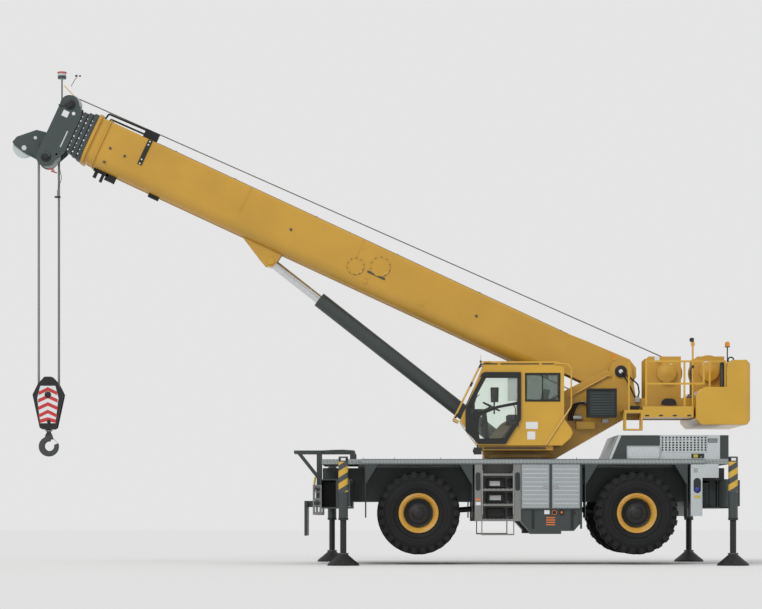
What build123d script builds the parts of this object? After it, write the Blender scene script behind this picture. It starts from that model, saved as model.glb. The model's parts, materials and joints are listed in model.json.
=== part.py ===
# A two-axle rough-terrain mobile crane with a telescopic boom, standing on its outriggers.
# Millimetres. The camera side is -Y, the crane's left. The boom points towards -X, the
# crane's front, and +Z is up. Lengths along the carrier are taken from the slewing centre.
import os
from math import atan2, cos, degrees, hypot, radians, sin

from build123d import *

os.makedirs("parts", exist_ok=True)

# Driving dimensions: carrier
slew_x = 2860            # slewing centre from the origin
ground_gap = 197         # tyres held clear of the ground by the outriggers
tyre_radius = 808
tyre_width = 597
rim_radius = 318         # bead seat
rim_flange = 389
wheelbase = 4250
front_axle_offset = -2044
track_half = 1201        # centre of a tyre from the centreline
frame_half_width = 480
frame_bottom = 1230
frame_top = 1900
deck_top = 2060
deck_edge = 100          # height of the deck's edge plate
deck_half_width = 1480
deck_end_half_width = 1250
slew_ring_radius = 720
slew_ring_bore = 600
slew_gap = 12            # height left between carrier and turntable
plate = 12               # general sheet and plate thickness
hub_radius = 232         # planetary hub, bolted into the rim
spindle_radius = 90
lug_height = 34
lug_count = 26           # on each shoulder of a tyre
lug_width = 104
knuckle_radius = 205
axle_tube = 165
kingpin_half = 930       # steering axis from the centreline

# Driving dimensions: outriggers
outrigger_base = 7450    # from front jack to rear jack on one side
left_jack_offset = -3496 # front left jack from the slewing centre
beam_stagger = 300       # the right beams lie this far ahead of the left ones
beam_width = 260
beam_height = 500
beam_centre_z = 1385
beam_length = 2540
channel_gap = 10
box_wall = 25
box_half_length = 1250
jack_y = 2400            # jack from the centreline, half way out
jack_tube_radius = 90
jack_tube_bottom = 870
jack_tube_top = 2084
jack_rod_radius = 60
jack_bore_gap = 1
jack_lift = 620          # how far a jack draws up from here
float_radius = 305
float_height = 215
float_lip = 26

# Driving dimensions: turntable and boom
turntable_bottom = 2100
boom_angle = 24.94
pivot_offset = 1984      # boom foot pin behind the slewing centre
pivot_z = 3818
pivot_radius = 70
boom_width = 680
boom_depth = 963
boom_axis_drop = 236     # boom centreline below the foot pin
boom_wall = 12
foot_plate = 26
boom_top_round = 55
boom_belly_round = 250
base_front = 11520       # front end of the base section, from the foot pin
base_rear = -330
section_step = 60        # each section is this much narrower and lower than the last
section_count = 4
collar_length = 90
collar_pitch = 112
collar_proud = 46
section_rear = 1160
side_plate_gap = 26
side_plate = 40
sheave_radius = 201      # to the rope's centre
upper_sheave_u = 12180
upper_sheave_v = 206
lower_sheave_u = 12160
lower_sheave_v = -890
nose_sheave_u = 12690
nose_sheave_v = -925
head_start = 11868
head_plate = 22
head_half_width = 240
rope_radius = 11

# Driving dimensions: lift cylinder
lug_u = 7250
lug_v = -924
lift_base_run = 2320     # base pin ahead of the boom foot pin
lift_base_drop = 1420    # base pin below the boom foot pin
barrel_radius = 152
sleeve_radius = 120
rod_radius = 92
slide_gap = 1
lift_eye_radius = 118
lift_eye_half = 90
lift_ear = 45
ear_gap = 8
barrel_mouth = 1230      # from the rod's eye back to the barrel's mouth
sleeve_length = 3450
rod_length = 3900
pin_radius = 55

# Driving dimensions: cab
cab_outer_y = -1370
cab_inner_y = -470
cab_wall = 45
cab_floor = 2325
door_thickness = 40
door_gap = 8
glass = 8

# Driving dimensions: hook block
block_top_z = 3730
block_wide_z = 3370
block_bottom_z = 2680
block_half_width = 308
block_thickness = 330
fall_spacing = 200
hook_bottom_z = 2140
hook_outer_radius = 200
hook_bowl_radius = 95    # seat for a sling or shackle
hook_bowl_shift = 15     # bowl ahead of the outer circle, so the tip is thin
hook_half_width = 55
hook_edge = 20
shank_radius = 46
shank_reach = 180        # how far the hook's shank stands in the block

# Places worked out from the driving dimensions
axle_z = ground_gap + tyre_radius
front_axle_x = slew_x + front_axle_offset
rear_axle_x = front_axle_x + wheelbase
axles = {"front": front_axle_x, "rear": rear_axle_x}
sides = {"left": -1, "right": 1}
jack_x = {
    "front_left": slew_x + left_jack_offset,
    "front_right": slew_x + left_jack_offset - beam_stagger,
    "rear_left": slew_x + left_jack_offset + outrigger_base,
    "rear_right": slew_x + left_jack_offset + outrigger_base - beam_stagger,
}
box_x = {
    "front": (jack_x["front_left"] + jack_x["front_right"]) / 2,
    "rear": (jack_x["rear_left"] + jack_x["rear_right"]) / 2,
}
box_depth = beam_stagger + beam_width + 2 * channel_gap + 2 * box_wall
box_height = beam_height + 2 * channel_gap + 2 * box_wall
tilt = radians(boom_angle)
along = Vector(-cos(tilt), 0, sin(tilt))
across = Vector(sin(tilt), 0, cos(tilt))
foot = Vector(slew_x + pivot_offset, 0, pivot_z)
boom_side = Plane(origin=foot, x_dir=along, z_dir=(0, 1, 0))
lug = foot + along * lug_u + across * lug_v
lift_base = foot + Vector(-lift_base_run, 0, -lift_base_drop)
lift_length = (lug - lift_base).length
lift_dir = (lug - lift_base).normalized()
lift_side = Plane(origin=lift_base, x_dir=lift_dir, z_dir=(0, 1, 0))
side_plate_y = boom_width / 2 + side_plate_gap
lower_sheave = foot + along * lower_sheave_u + across * lower_sheave_v
upper_sheave = foot + along * upper_sheave_u + across * upper_sheave_v


def side(y):
    """A plane seen from the camera side, X to the right and Z up, standing at y."""
    return Plane.XZ.offset(-y)


def boom_cut(u, v=0.0):
    """A plane across the boom, u ahead of the foot pin, with its normal to the head."""
    return Plane(origin=foot + along * u + across * v, x_dir=(0, -1, 0), z_dir=along)


def save(part, label):
    part.label = label
    export_step(part, f"parts/{label}.step")


def outline(points):
    """The points as a closed face in the open sketch."""
    Polygon(*points, align=None)


def boom_ring(width, depth, rounds, wall=0.0):
    """A boom section's outline in the open sketch, hollow if it has a wall."""
    top_round, belly_round = rounds
    for less, mode in ((0, Mode.ADD), (wall, Mode.SUBTRACT)):
        if mode is Mode.SUBTRACT and not wall:
            continue
        with BuildSketch(mode=Mode.PRIVATE) as ring:
            Rectangle(width - 2 * less, depth - 2 * less)
            fillet(ring.vertices().group_by(Axis.Y)[-1], top_round - less / 2)
            fillet(ring.vertices().group_by(Axis.Y)[0], belly_round - less)
        add(ring.sketch, mode=mode)


# Wheels: a tyre and a dished rim on each corner
def tyre_profile():
    """The carcass between the beads and the floor of the tread's grooves."""
    half = tyre_width / 2
    floor = tyre_radius - lug_height
    outline(
        [
            (rim_radius, -half * 0.76),
            (rim_flange, -half * 0.80),
            (tyre_radius * 0.62, -half * 0.97),
            (tyre_radius * 0.74, -half),
            (tyre_radius * 0.85, -half * 0.95),
            (floor, -half * 0.72),
            (floor + 8, 0),
            (floor, half * 0.72),
            (tyre_radius * 0.85, half * 0.95),
            (tyre_radius * 0.74, half),
            (tyre_radius * 0.62, half * 0.97),
            (rim_flange, half * 0.80),
            (rim_radius, half * 0.76),
        ]
    )


def lug_profile(outward):
    """One tread lug from the middle of the tread over its shoulder."""
    half = tyre_width / 2
    root = tyre_radius - lug_height - 20
    outline(
        [
            (root, outward * 12),
            (tyre_radius, outward * 18),
            (tyre_radius, outward * half * 0.82),
            (tyre_radius * 0.955, outward * half * 0.985),
            (tyre_radius * 0.84, outward * half),
            (tyre_radius * 0.82, outward * half * 0.94),
            (root, outward * half * 0.70),
        ]
    )


def lug_ring(section, spin):
    """The lugs of both shoulders, one side half a pitch behind the other."""
    lugs = []
    pitch = 360 / lug_count
    for outward, lag in ((-1, 0), (1, pitch / 2)):
        with BuildPart() as lug:
            with BuildSketch(section):
                lug_profile(outward)
            extrude(amount=lug_width / 2, both=True)
        lugs += [lug.part.rotate(spin, lag + pitch * number) for number in range(lug_count)]
    return lugs


def rim_profile(outward):
    """The rim's half section: a barrel, its stepped flanges and the disc, with the hub in it."""
    half = tyre_width / 2
    inside = rim_radius - 22
    outline(
        [
            (0, outward * 150),
            (96, outward * 150),
            (120, outward * 128),
            (hub_radius - 34, outward * 112),
            (hub_radius - 34, outward * 74),
            (hub_radius, outward * 66),
            (inside - 16, outward * 66),
            (inside, outward * 110),
            (inside, outward * half * 0.62),
            (rim_flange - 44, outward * half * 0.86),
            (rim_flange, outward * half * 0.86),
            (rim_flange, outward * half * 0.80),
            (rim_radius, outward * half * 0.76),
            (rim_radius, -outward * half * 0.76),
            (rim_flange, -outward * half * 0.80),
            (rim_flange, -outward * half * 0.84),
            (inside, -outward * half * 0.84),
            (inside, outward * 30),
            (hub_radius, outward * 20),
            (spindle_radius, outward * 20),
            (spindle_radius, outward * 100),
            (0, outward * 100),
        ]
    )


for end, axle_x in axles.items():
    for name, y in sides.items():
        centre = (axle_x, y * track_half, axle_z)
        # local x runs out from the hub and local y along the axle
        section = Plane(origin=centre, x_dir=(1, 0, 0), z_dir=(0, 0, 1))
        spin = Axis(centre, (0, 1, 0))
        with BuildPart() as tyre:
            with BuildSketch(section):
                tyre_profile()
            revolve(axis=spin)
            add(lug_ring(section, spin))
        save(tyre.part, f"tyre_{end}_{name}")
        with BuildPart() as rim:
            with BuildSketch(section):
                rim_profile(y)
            revolve(axis=spin)
        save(rim.part, f"rim_{end}_{name}")


# Carrier: frame, axles, slewing ring and decks
frame_front = box_x["front"] + box_depth / 2
frame_rear = box_x["rear"] - box_depth / 2
box_low = beam_centre_z - box_height / 2
box_high = beam_centre_z + box_height / 2
deck_front = box_x["front"] - box_depth / 2 + 30
deck_rear = box_x["rear"] + box_depth / 2 - 90
deck_wide_front = -304
deck_wide_rear = 6385
deck_under = deck_top - deck_edge

with BuildPart() as chassis_frame:
    with BuildSketch(side(0)):
        outline([
            (frame_front, frame_bottom),
            (frame_rear, frame_bottom),
            (frame_rear, box_high),
            (deck_rear, box_high),
            (deck_rear, frame_top),
            (deck_front, frame_top),
            (deck_front, box_high),
            (frame_front, box_high),
        ])
    extrude(amount=frame_half_width, both=True)
    with BuildSketch(Plane.XY.offset(frame_top)):
        with Locations((slew_x, 0)):
            Circle(slew_ring_radius)
            Circle(slew_ring_bore, mode=Mode.SUBTRACT)
    extrude(amount=turntable_bottom - slew_gap - frame_top)
save(chassis_frame.part, "chassis_frame")


# Axle beams with a bolster up to the frame and a fork for each kingpin
with BuildPart() as axle_beams:
    for axle_x in axles.values():
        with BuildSketch(side(0)):
            with Locations((axle_x, axle_z)):
                Circle(axle_tube)
        extrude(amount=kingpin_half - 130, both=True)
        with BuildSketch(side(0)):
            with Locations((axle_x, axle_z)):
                Circle(axle_tube + 25)
        extrude(amount=200, both=True)
        with BuildSketch(side(0)):
            outline([
                (axle_x - 180, axle_z),
                (axle_x + 180, axle_z),
                (axle_x + 180, frame_bottom),
                (axle_x - 180, frame_bottom),
            ])
        extrude(amount=320, both=True)
        for y in sides.values():
            with Locations((axle_x, y * (kingpin_half - 60), axle_z)):
                Box(240, 180, 430)
            with Locations((axle_x, y * (kingpin_half + 20), axle_z)):
                Box(250, 180, 2 * (knuckle_radius - 40) + 20, mode=Mode.SUBTRACT)
save(axle_beams.part, "axle_beams")


def knuckle(axle_x, y):
    """A steering knuckle with its kingpin boss and the spindle that carries a wheel."""
    boss = knuckle_radius - 45
    with BuildPart() as built:
        with BuildSketch(Plane.XY.offset(axle_z - boss)):
            with Locations((axle_x, y * (kingpin_half + 5))):
                Circle(60)
        extrude(amount=2 * boss)
        with BuildSketch(side(y * (kingpin_half + 5))):
            with Locations((axle_x, axle_z)):
                Circle(boss - 10)
        extrude(amount=-y * 165)
        with BuildSketch(side(y * (kingpin_half + 160))):
            with Locations((axle_x, axle_z)):
                Circle(spindle_radius - 1)
        extrude(amount=-y * (track_half - kingpin_half - 160 + 90))
    return built.part


for end, axle_x in axles.items():
    for name, y in sides.items():
        save(knuckle(axle_x, y), f"knuckle_{end}_{name}")

with BuildPart() as deck:
    with BuildSketch(Plane.XY.offset(deck_under)):
        with Locations(((deck_wide_front + deck_wide_rear) / 2, 0)):
            Rectangle(deck_wide_rear - deck_wide_front, 2 * deck_half_width)
        with Locations(((deck_front + deck_rear) / 2, 0)):
            Rectangle(deck_rear - deck_front, 2 * deck_end_half_width)
    extrude(amount=deck_edge)
    with BuildSketch(Plane.XY.offset(deck_under)):
        with Locations(((deck_wide_front + deck_wide_rear) / 2, 0)):
            Rectangle(deck_wide_rear - deck_wide_front - 2 * plate, 2 * (deck_half_width - plate))
        with Locations(((deck_front + deck_rear) / 2, 0)):
            Rectangle(deck_rear - deck_front - 2 * plate, 2 * (deck_end_half_width - plate))
    extrude(amount=deck_edge - plate, mode=Mode.SUBTRACT)
    with BuildSketch(Plane.XY.offset(frame_top)):
        with Locations(((frame_front + frame_rear) / 2, 0)):
            Rectangle(frame_rear - frame_front - 200, 2 * (frame_half_width - 100))
    extrude(amount=deck_top - plate - frame_top)
    with BuildSketch(Plane.XY.offset(frame_top)):
        with Locations((slew_x, 0)):
            Circle(slew_ring_radius + 15)
    extrude(amount=deck_top - frame_top, mode=Mode.SUBTRACT)
save(deck.part, "deck")

# Mudguards: one bent plate over each wheel
fender_top = deck_under
fender_low = 915
fender_inner = 905
arch_reach = {"front": (-1043, 1051), "rear": (-1010, 985)}

with BuildPart() as fenders:
    for end, axle_x in axles.items():
        back, ahead = arch_reach[end][1], arch_reach[end][0]
        left_x, right_x = axle_x + ahead, axle_x + back
        for y in sides.values():
            with BuildSketch(side(y * fender_inner)):
                outline([
                    (left_x, fender_low),
                    (left_x, fender_top - 400),
                    (left_x + 240, fender_top),
                    (right_x - 240, fender_top),
                    (right_x, fender_top - 400),
                    (right_x, fender_low),
                    (right_x - plate, fender_low),
                    (right_x - plate, fender_top - 400 - 4),
                    (right_x - 240 - 8, fender_top - plate),
                    (left_x + 240 + 8, fender_top - plate),
                    (left_x + plate, fender_top - 400 - 4),
                    (left_x + plate, fender_low),
                ])
            extrude(amount=-y * (deck_half_width - fender_inner - 10))
            with BuildSketch(side(y * (deck_half_width - 10))):
                for corner_x, run in ((left_x, 240), (right_x, -240)):
                    outline([
                        (corner_x, fender_top),
                        (corner_x, fender_top - 404),
                        (corner_x + run, fender_top),
                    ])
            extrude(amount=y * plate)
save(fenders.part, "fenders")


# Outriggers: a box with two channels at each end, a beam with its jack tube and a jack
with BuildPart() as outrigger_boxes:
    for end in axles:
        with Locations((box_x[end], 0, beam_centre_z)):
            Box(box_depth, 2 * box_half_length, box_height)
    for x in jack_x.values():
        with Locations((x, 0, beam_centre_z)):
            Box(
                beam_width + 2 * channel_gap,
                2 * box_half_length,
                beam_height + 2 * channel_gap,
                mode=Mode.SUBTRACT,
            )
save(outrigger_boxes.part, "outrigger_boxes")


def beam(x, y):
    """A beam that slides in its box, with the jack's outer tube on its end."""
    with BuildPart() as built:
        with Locations((x, y * (jack_y - beam_length / 2), beam_centre_z)):
            Box(beam_width, beam_length, beam_height)
        with BuildSketch(Plane.XY.offset(jack_tube_bottom)):
            with Locations((x, y * jack_y)):
                Circle(jack_tube_radius)
        extrude(amount=jack_tube_top - jack_tube_bottom)
        with BuildSketch(Plane.XY.offset(jack_tube_bottom)):
            with Locations((x, y * jack_y)):
                Circle(jack_rod_radius + jack_bore_gap)
        extrude(amount=jack_tube_top - jack_tube_bottom - 60, mode=Mode.SUBTRACT)
    return built.part


def jack(x, y):
    """A jack's leg and the float it stands on."""
    with BuildPart() as built:
        with BuildSketch(Plane.XY):
            with Locations((x, y * jack_y)):
                Circle(float_radius)
        extrude(amount=float_lip)
        with BuildSketch(Plane.XY.offset(float_lip)):
            with Locations((x, y * jack_y)):
                Circle(float_radius)
        with BuildSketch(Plane.XY.offset(float_height)):
            with Locations((x, y * jack_y)):
                Circle(jack_rod_radius + 25)
        loft()
        with BuildSketch(Plane.XY.offset(float_height - 20)):
            with Locations((x, y * jack_y)):
                Circle(jack_rod_radius)
        extrude(amount=jack_tube_top - 70 - jack_lift - float_height + 20)
    return built.part


for label, x in jack_x.items():
    y = sides[label.split("_")[1]]
    save(beam(x, y), f"beam_{label}")
    save(jack(x, y), f"jack_{label}")


# Under the deck between the wheels: steps, lockers, tank and the side frames
def carrier_block(x0, x1, z0, z1, y0, y1):
    """A box between two corners, for use inside an open part."""
    with Locations(((x0 + x1) / 2, (y0 + y1) / 2, (z0 + z1) / 2)):
        Box(abs(x1 - x0), abs(y1 - y0), abs(z1 - z0))


step_x = (1908, 2809)
step_low = 848
locker_x = ((2818, 3362), (3414, 3958))
locker_low = 1097
tank_x = (2815, 4000)
tank_low = 657

with BuildPart() as steps:
    for y in sides.values():
        outer = y * (deck_half_width - 15)
        inner = y * (deck_half_width - 330)
        for x in (step_x[0], step_x[1] - 150):
            carrier_block(x, x + 150, step_low, deck_under, outer, outer - y * 40)
        for z in (step_low, step_low + 295, step_low + 590, step_low + 885):
            carrier_block(step_x[0] + 150, step_x[1] - 150, z, z + 40, outer, inner)
        carrier_block(step_x[0], step_x[1], step_low, deck_under, inner, inner - y * 20)
        for x in (step_x[0], step_x[1] - 20):
            carrier_block(x, x + 20, step_low, deck_under, outer - y * 40, inner)
        for x in (step_x[0] + 130, step_x[1] - 150):
            carrier_block(x, x + 20, step_low - 273, step_low, outer - y * 10, outer - y * 30)
        carrier_block(
            step_x[0] + 130, step_x[1] - 130, step_low - 273, step_low - 245, outer, outer - y * 130
        )
        carrier_block(
            step_x[0] + 300, step_x[0] + 600, 1500, 1700, inner - y * 20, y * frame_half_width
        )
save(steps.part, "steps")

with BuildPart() as lockers:
    for y in sides.values():
        outer = y * (deck_half_width - 15)
        for x0, x1 in locker_x:
            carrier_block(x0, x1, locker_low, deck_under, outer, y * (frame_half_width + 260))
        carrier_block(
            locker_x[0][0] + 50,
            locker_x[1][1] - 50,
            locker_low + 100,
            deck_under - 100,
            y * (frame_half_width + 260),
            y * frame_half_width,
        )
save(lockers.part, "lockers")

with BuildPart() as tanks:
    for y in sides.values():
        with BuildSketch(side(y * (deck_half_width - 40))):
            outline([
                (tank_x[0], locker_low),
                (tank_x[0], tank_low + 180),
                (tank_x[0] + 160, tank_low),
                (tank_x[1] - 160, tank_low),
                (tank_x[1], tank_low + 180),
                (tank_x[1], locker_low),
            ])
        extrude(amount=y * 560)
        carrier_block(
            locker_x[0][0] + 155,
            locker_x[1][0] + 175,
            tank_low - 58,
            tank_low,
            y * (deck_half_width - 40),
            y * (deck_half_width - 150),
        )
save(tanks.part, "tanks")

# Rear cabinet, lamp brackets and the tow frame at the nose
with BuildPart() as rear_cabinets:
    carrier_block(6114, 6340, 949, deck_under, -1465, -1040)
    carrier_block(6340, 6657, 1690, deck_under, -1465, -frame_half_width)
    carrier_block(6114, 6340, 949, deck_under, 1465, 1040)
    for y in sides.values():
        carrier_block(6114, 6340, 1500, deck_under, y * 1040, y * frame_half_width)
save(rear_cabinets.part, "rear_cabinets")

box_nose = box_x["front"] - box_depth / 2
with BuildPart() as tow_frame:
    for y in (-420, 420):
        carrier_block(box_nose - 330, box_nose, 1130, 1250, y - 40, y + 40)
        carrier_block(box_nose - 90, box_nose, 1250, 2250, y - 40, y + 40)
        with BuildSketch(side(y)):
            outline([
                (box_nose - 480, 2190),
                (box_nose - 400, 2190),
                (box_nose - 60, 1760),
                (box_nose - 90, 1700),
            ])
        extrude(amount=35, both=True)
        carrier_block(box_nose - 480, box_nose + 650, 2190, 2250, y - 35, y + 35)
        carrier_block(box_nose + 570, box_nose + 650, deck_top, 2190, y - 35, y + 35)
    carrier_block(box_nose - 540, box_nose - 480, 2190, 2250, -455, 455)
    carrier_block(box_nose - 330, box_nose - 270, 560, 1250, -600, 600)
save(tow_frame.part, "tow_frame")

# Engine hood and engine
hood_half_width = 1240
hood_side = [(4518, deck_top), (4713, 2531), (6706, 2531), (6706, deck_top)]
grille_centre = (6006, 2360)
grille_pitch = (70, 48)
grille_holes = (13, 6)
with BuildPart() as engine_hood:
    with BuildSketch(side(0)):
        outline(hood_side)
    extrude(amount=hood_half_width, both=True)
    with BuildSketch(side(0)):
        outline([(4640, deck_top), (4780, 2500), (6680, 2500), (6680, deck_top)])
    extrude(amount=hood_half_width - 30, both=True, mode=Mode.SUBTRACT)
    with BuildSketch(side(-hood_half_width)):
        with Locations(grille_centre):
            with GridLocations(*grille_pitch, *grille_holes):
                Rectangle(38, 30)
    extrude(amount=-2 * hood_half_width, mode=Mode.SUBTRACT)
    carrier_block(6706, 6880, deck_top, 2531, -hood_half_width, hood_half_width)
    for y in sides.values():
        carrier_block(4900, 5520, deck_top, 2320, y * hood_half_width, y * (hood_half_width + 60))
save(engine_hood.part, "engine_hood")

with BuildPart() as engine:
    carrier_block(4900, 6300, deck_top, 2440, -420, 420)
save(engine.part, "engine")


# Turntable: base, side plates, rear arms, lugs for the lift cylinder and the cab bracket
side_x = slew_x + pivot_offset
side_low = turntable_bottom
arm_low = 2880
arm_high = 3290
arm_rear = 6222
ledge_top = 3465
pocket_low = 3300
pivot_boss = 230

with BuildPart() as turntable:
    with BuildSketch(Plane.XY.offset(turntable_bottom)):
        with Locations((slew_x, 0)):
            Circle(slew_ring_radius + 30)
            Circle(slew_ring_bore - 60, mode=Mode.SUBTRACT)
    extrude(amount=70)
    for y in sides.values():
        with BuildSketch(side(y * side_plate_y)):
            outline([
                (slew_x - 735, side_low),
                (slew_x + 710, side_low),
                (side_x + 85, arm_low),
                (arm_rear, arm_low),
                (arm_rear, arm_high),
                (side_x + 300, arm_high),
                (side_x + pivot_boss, pivot_z),
                (side_x - pivot_boss, pivot_z),
                (side_x - pivot_boss - 30, pivot_z + 60),
                (side_x - 953, pivot_z - 298),
                (slew_x - 380, 2786),
                (slew_x - 735, 2390),
            ])
            with Locations((side_x, pivot_z)):
                Circle(pivot_boss)
        extrude(amount=-y * side_plate)
        with BuildSketch(side(y * (lift_eye_half + ear_gap))):
            outline([
                (lift_base.X - 170, turntable_bottom + 70),
                (lift_base.X + 300, turntable_bottom + 70),
                (lift_base.X + 140, lift_base.Z),
                (lift_base.X - 140, lift_base.Z),
            ])
            with Locations((lift_base.X, lift_base.Z)):
                Circle(140)
        extrude(amount=-y * lift_ear)
        carrier_block(
            lift_base.X - 120,
            lift_base.X + 120,
            turntable_bottom + 70,
            turntable_bottom + 130,
            y * (lift_eye_half + ear_gap + lift_ear),
            y * side_plate_y,
        )
        for x in (5350, 6150):
            carrier_block(x, x + 60, arm_low + 40, arm_high, 0, y * side_plate_y)
    carrier_block(slew_x + 640, slew_x + 700, side_low, side_low + 400, -side_plate_y, side_plate_y)
    for y in sides.values():
        with BuildSketch(side(y * (side_plate_y + side_plate))):
            with Locations((side_x, pivot_z)):
                Circle(pivot_radius + 60)
                Circle(pivot_radius - 2, mode=Mode.SUBTRACT)
        extrude(amount=-y * 25)
        with BuildSketch(side(y * side_plate_y)):
            with Locations((side_x, pivot_z)):
                Circle(pivot_radius + 1)
        extrude(amount=-y * (side_plate + 30), mode=Mode.SUBTRACT)
        with BuildSketch(side(y * (lift_eye_half + ear_gap))):
            with Locations((lift_base.X, lift_base.Z)):
                Circle(pin_radius + 1)
        extrude(amount=-y * lift_ear, mode=Mode.SUBTRACT)
    carrier_block(2000, 3450, 2230, cab_floor, -side_plate_y - side_plate, cab_outer_y + 120)
save(turntable.part, "turntable")

with BuildPart() as boom_foot_pin:
    with BuildSketch(side(0)):
        with Locations((side_x, pivot_z)):
            Circle(pivot_radius)
    extrude(amount=side_plate_y + side_plate + 20, both=True)
save(boom_foot_pin.part, "boom_foot_pin")

with BuildPart() as lift_base_pin:
    with BuildSketch(side(0)):
        with Locations((lift_base.X, lift_base.Z)):
            Circle(pin_radius)
    extrude(amount=lift_eye_half + ear_gap + lift_ear + 15, both=True)
save(lift_base_pin.part, "lift_base_pin")

counter_half_width = 1400
pocket_rear = 6970       # rear wall of the counterweight's pocket for the winch
with BuildPart() as counterweight:
    with BuildSketch(side(0)):
        outline([
            (6325, 2729),
            (7224, 2729),
            (7291, 2819),
            (7291, 3922),
            (7215, 3997),
            (6911, 3989),
            (6863, 3942),
            (6823, 3844),
            (6823, ledge_top),
            (6409, ledge_top),
            (6285, 3400),
            (arm_rear, 3296),
            (arm_rear, 2842),
        ])
    extrude(amount=counter_half_width, both=True)
    with Locations(((arm_rear + pocket_rear) / 2, 0, pocket_low + 400)):
        Box(pocket_rear - arm_rear, 1000, 800, mode=Mode.SUBTRACT)
    chamfer(
        counterweight.edges().filter_by(Axis.Z).group_by(Axis.X)[-1], 90
    )
save(counterweight.part, "counterweight")


# Hoist drums, each between two side frames
winch_list = (
    (5744, 3787, (5333, 6039), arm_high),
    (6590, 3815, (6300, 6900), pocket_low),
)
winch_top = 4117
drum_radius = 285
with BuildPart() as winches:
    for x, z, (frame_rear_x, frame_front_x), frame_low in winch_list:
        for y in sides.values():
            with BuildSketch(side(y * (side_plate_y + side_plate))):
                outline([
                    (frame_rear_x, frame_low),
                    (frame_front_x, frame_low),
                    (frame_front_x, winch_top),
                    (frame_rear_x + 60, winch_top),
                    (frame_rear_x, winch_top - 60),
                ])
            extrude(amount=y * 30)
        with BuildSketch(side(0)):
            with Locations((x, z)):
                Circle(drum_radius)
        extrude(amount=side_plate_y + side_plate - 30, both=True)
        for y in sides.values():
            with BuildSketch(side(y * (side_plate_y - 30))):
                with Locations((x, z)):
                    Circle(drum_radius + 45)
            extrude(amount=y * 25)
            with BuildSketch(side(y * (side_plate_y + side_plate))):
                with Locations((x, z)):
                    Circle(drum_radius - 90)
            extrude(amount=-y * 90)
save(winches.part, "winches")

# Platform and step behind the cab, and its handrails
platform_x = (5191, 6180)
platform_top = 3087
platform_low = 2873
platform_outer = -1350
rail = 36
rail_y = platform_outer + 30
with BuildPart() as platform:
    carrier_block(
        platform_x[0], platform_x[1], platform_low, platform_top, platform_outer, -side_plate_y - 90
    )
    carrier_block(4830, platform_x[0], 2960, 3020, platform_outer, -side_plate_y - side_plate)
    for x in (4830, 5150):
        carrier_block(x, x + 40, 2622, 2960, platform_outer, platform_outer + 40)
        carrier_block(x, x + 40, 2622, 2660, platform_outer + 40, platform_outer + 300)
        carrier_block(x, x + 40, 2660, 2960, platform_outer + 260, platform_outer + 300)
    carrier_block(4870, 5150, 2622, 2650, platform_outer, platform_outer + 300)
    for x in (platform_x[0] + 60, platform_x[1] - 160):
        carrier_block(
            x, x + 100, arm_low + 20, platform_top - 20, -side_plate_y - 100, -side_plate_y - side_plate
        )
    for x in (4905, 5240, 5990, 6480):
        low = 3020 if x < platform_x[0] else (platform_top if x < 6200 else ledge_top)
        carrier_block(x, x + rail, low, 3960, rail_y, rail_y + rail)
    carrier_block(5240, 6400, 3950, 3950 + rail, rail_y, rail_y + rail)
    carrier_block(6400 - rail, 6400, 3550, 3950, rail_y, rail_y + rail)
    carrier_block(5240, 6400, 3514, 3514 + rail, rail_y, rail_y + rail)
    carrier_block(6480, 6820, 3950, 3950 + rail, rail_y, rail_y + rail)
    carrier_block(6784, 6820, ledge_top, 3950, rail_y, rail_y + rail)
save(platform.part, "platform")

louvre_count = 12
louvre_pitch = 37
with BuildPart() as oil_cooler:
    carrier_block(4120, 4690, 2880, 3440, -1150, -930)
    with Locations((4405, -1150, 3160)):
        Box(430, 90, 470, mode=Mode.SUBTRACT)
    with BuildSketch(Plane.YZ.offset(4190)):
        for number in range(louvre_count):
            low = 2935 + number * louvre_pitch
            outline([(-1150, low), (-1150, low + 6), (-1106, low + 36), (-1100, low + 30)])
    extrude(amount=430)
    carrier_block(4240, 4300, 2960, 3300, -930, -side_plate_y - side_plate)
    carrier_block(4560, 4620, 2960, 3360, -930, -side_plate_y - side_plate)
save(oil_cooler.part, "oil_cooler")


# Cab: a hollow shell with its windows cut, panes, a sliding door, seat and controls
shell_y = cab_outer_y + door_thickness + door_gap
cab_outline = [
    (2112, 3966),
    (3546, 3966),
    (3659, 3834),
    (3659, 2859),
    (3301, cab_floor),
    (1981, cab_floor),
    (1634, 2801),
]
cab_inside = [
    (2143, 3921),
    (3524, 3921),
    (3614, 3817),
    (3614, 2873),
    (3277, 2370),
    (2004, 2370),
    (1684, 2808),
]
door_outline = [
    (2093, 3756),
    (2814, 3756),
    (2814, 2834),
    (2516, 2355),
    (1981, 2355),
    (1732, 2609),
    (1732, 3058),
]
door_hole = [
    (2150, 3700),
    (2770, 3700),
    (2770, 2850),
    (2490, 2400),
    (2010, 2400),
    (1790, 2630),
    (1790, 3050),
]
upper_pane = [
    (2135, 3640),
    (2750, 3640),
    (2750, 3180),
    (2350, 3100),
    (2075, 2995),
    (1812, 2960),
    (1812, 3045),
]
lower_pane = [
    (2060, 2925),
    (2370, 3050),
    (2750, 3120),
    (2750, 2850),
    (2480, 2460),
    (2010, 2460),
    (1980, 2630),
    (2006, 2870),
]
side_window = (2905, 3575, 3185, 3735)
roof_window = (2260, 3250)


def slope_pane(low, high, width):
    """A window's outline on the sloping front, from its lower to its upper edge."""
    length = hypot(high[0] - low[0], high[1] - low[1])
    lean = Vector(high[0] - low[0], 0, high[1] - low[1]).normalized()
    centre = ((low[0] + high[0]) / 2, (cab_inner_y + shell_y) / 2, (low[1] + high[1]) / 2)
    plane = Plane(origin=centre, x_dir=lean, z_dir=lean.cross(Vector(0, 1, 0)))
    return plane, length, width


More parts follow.
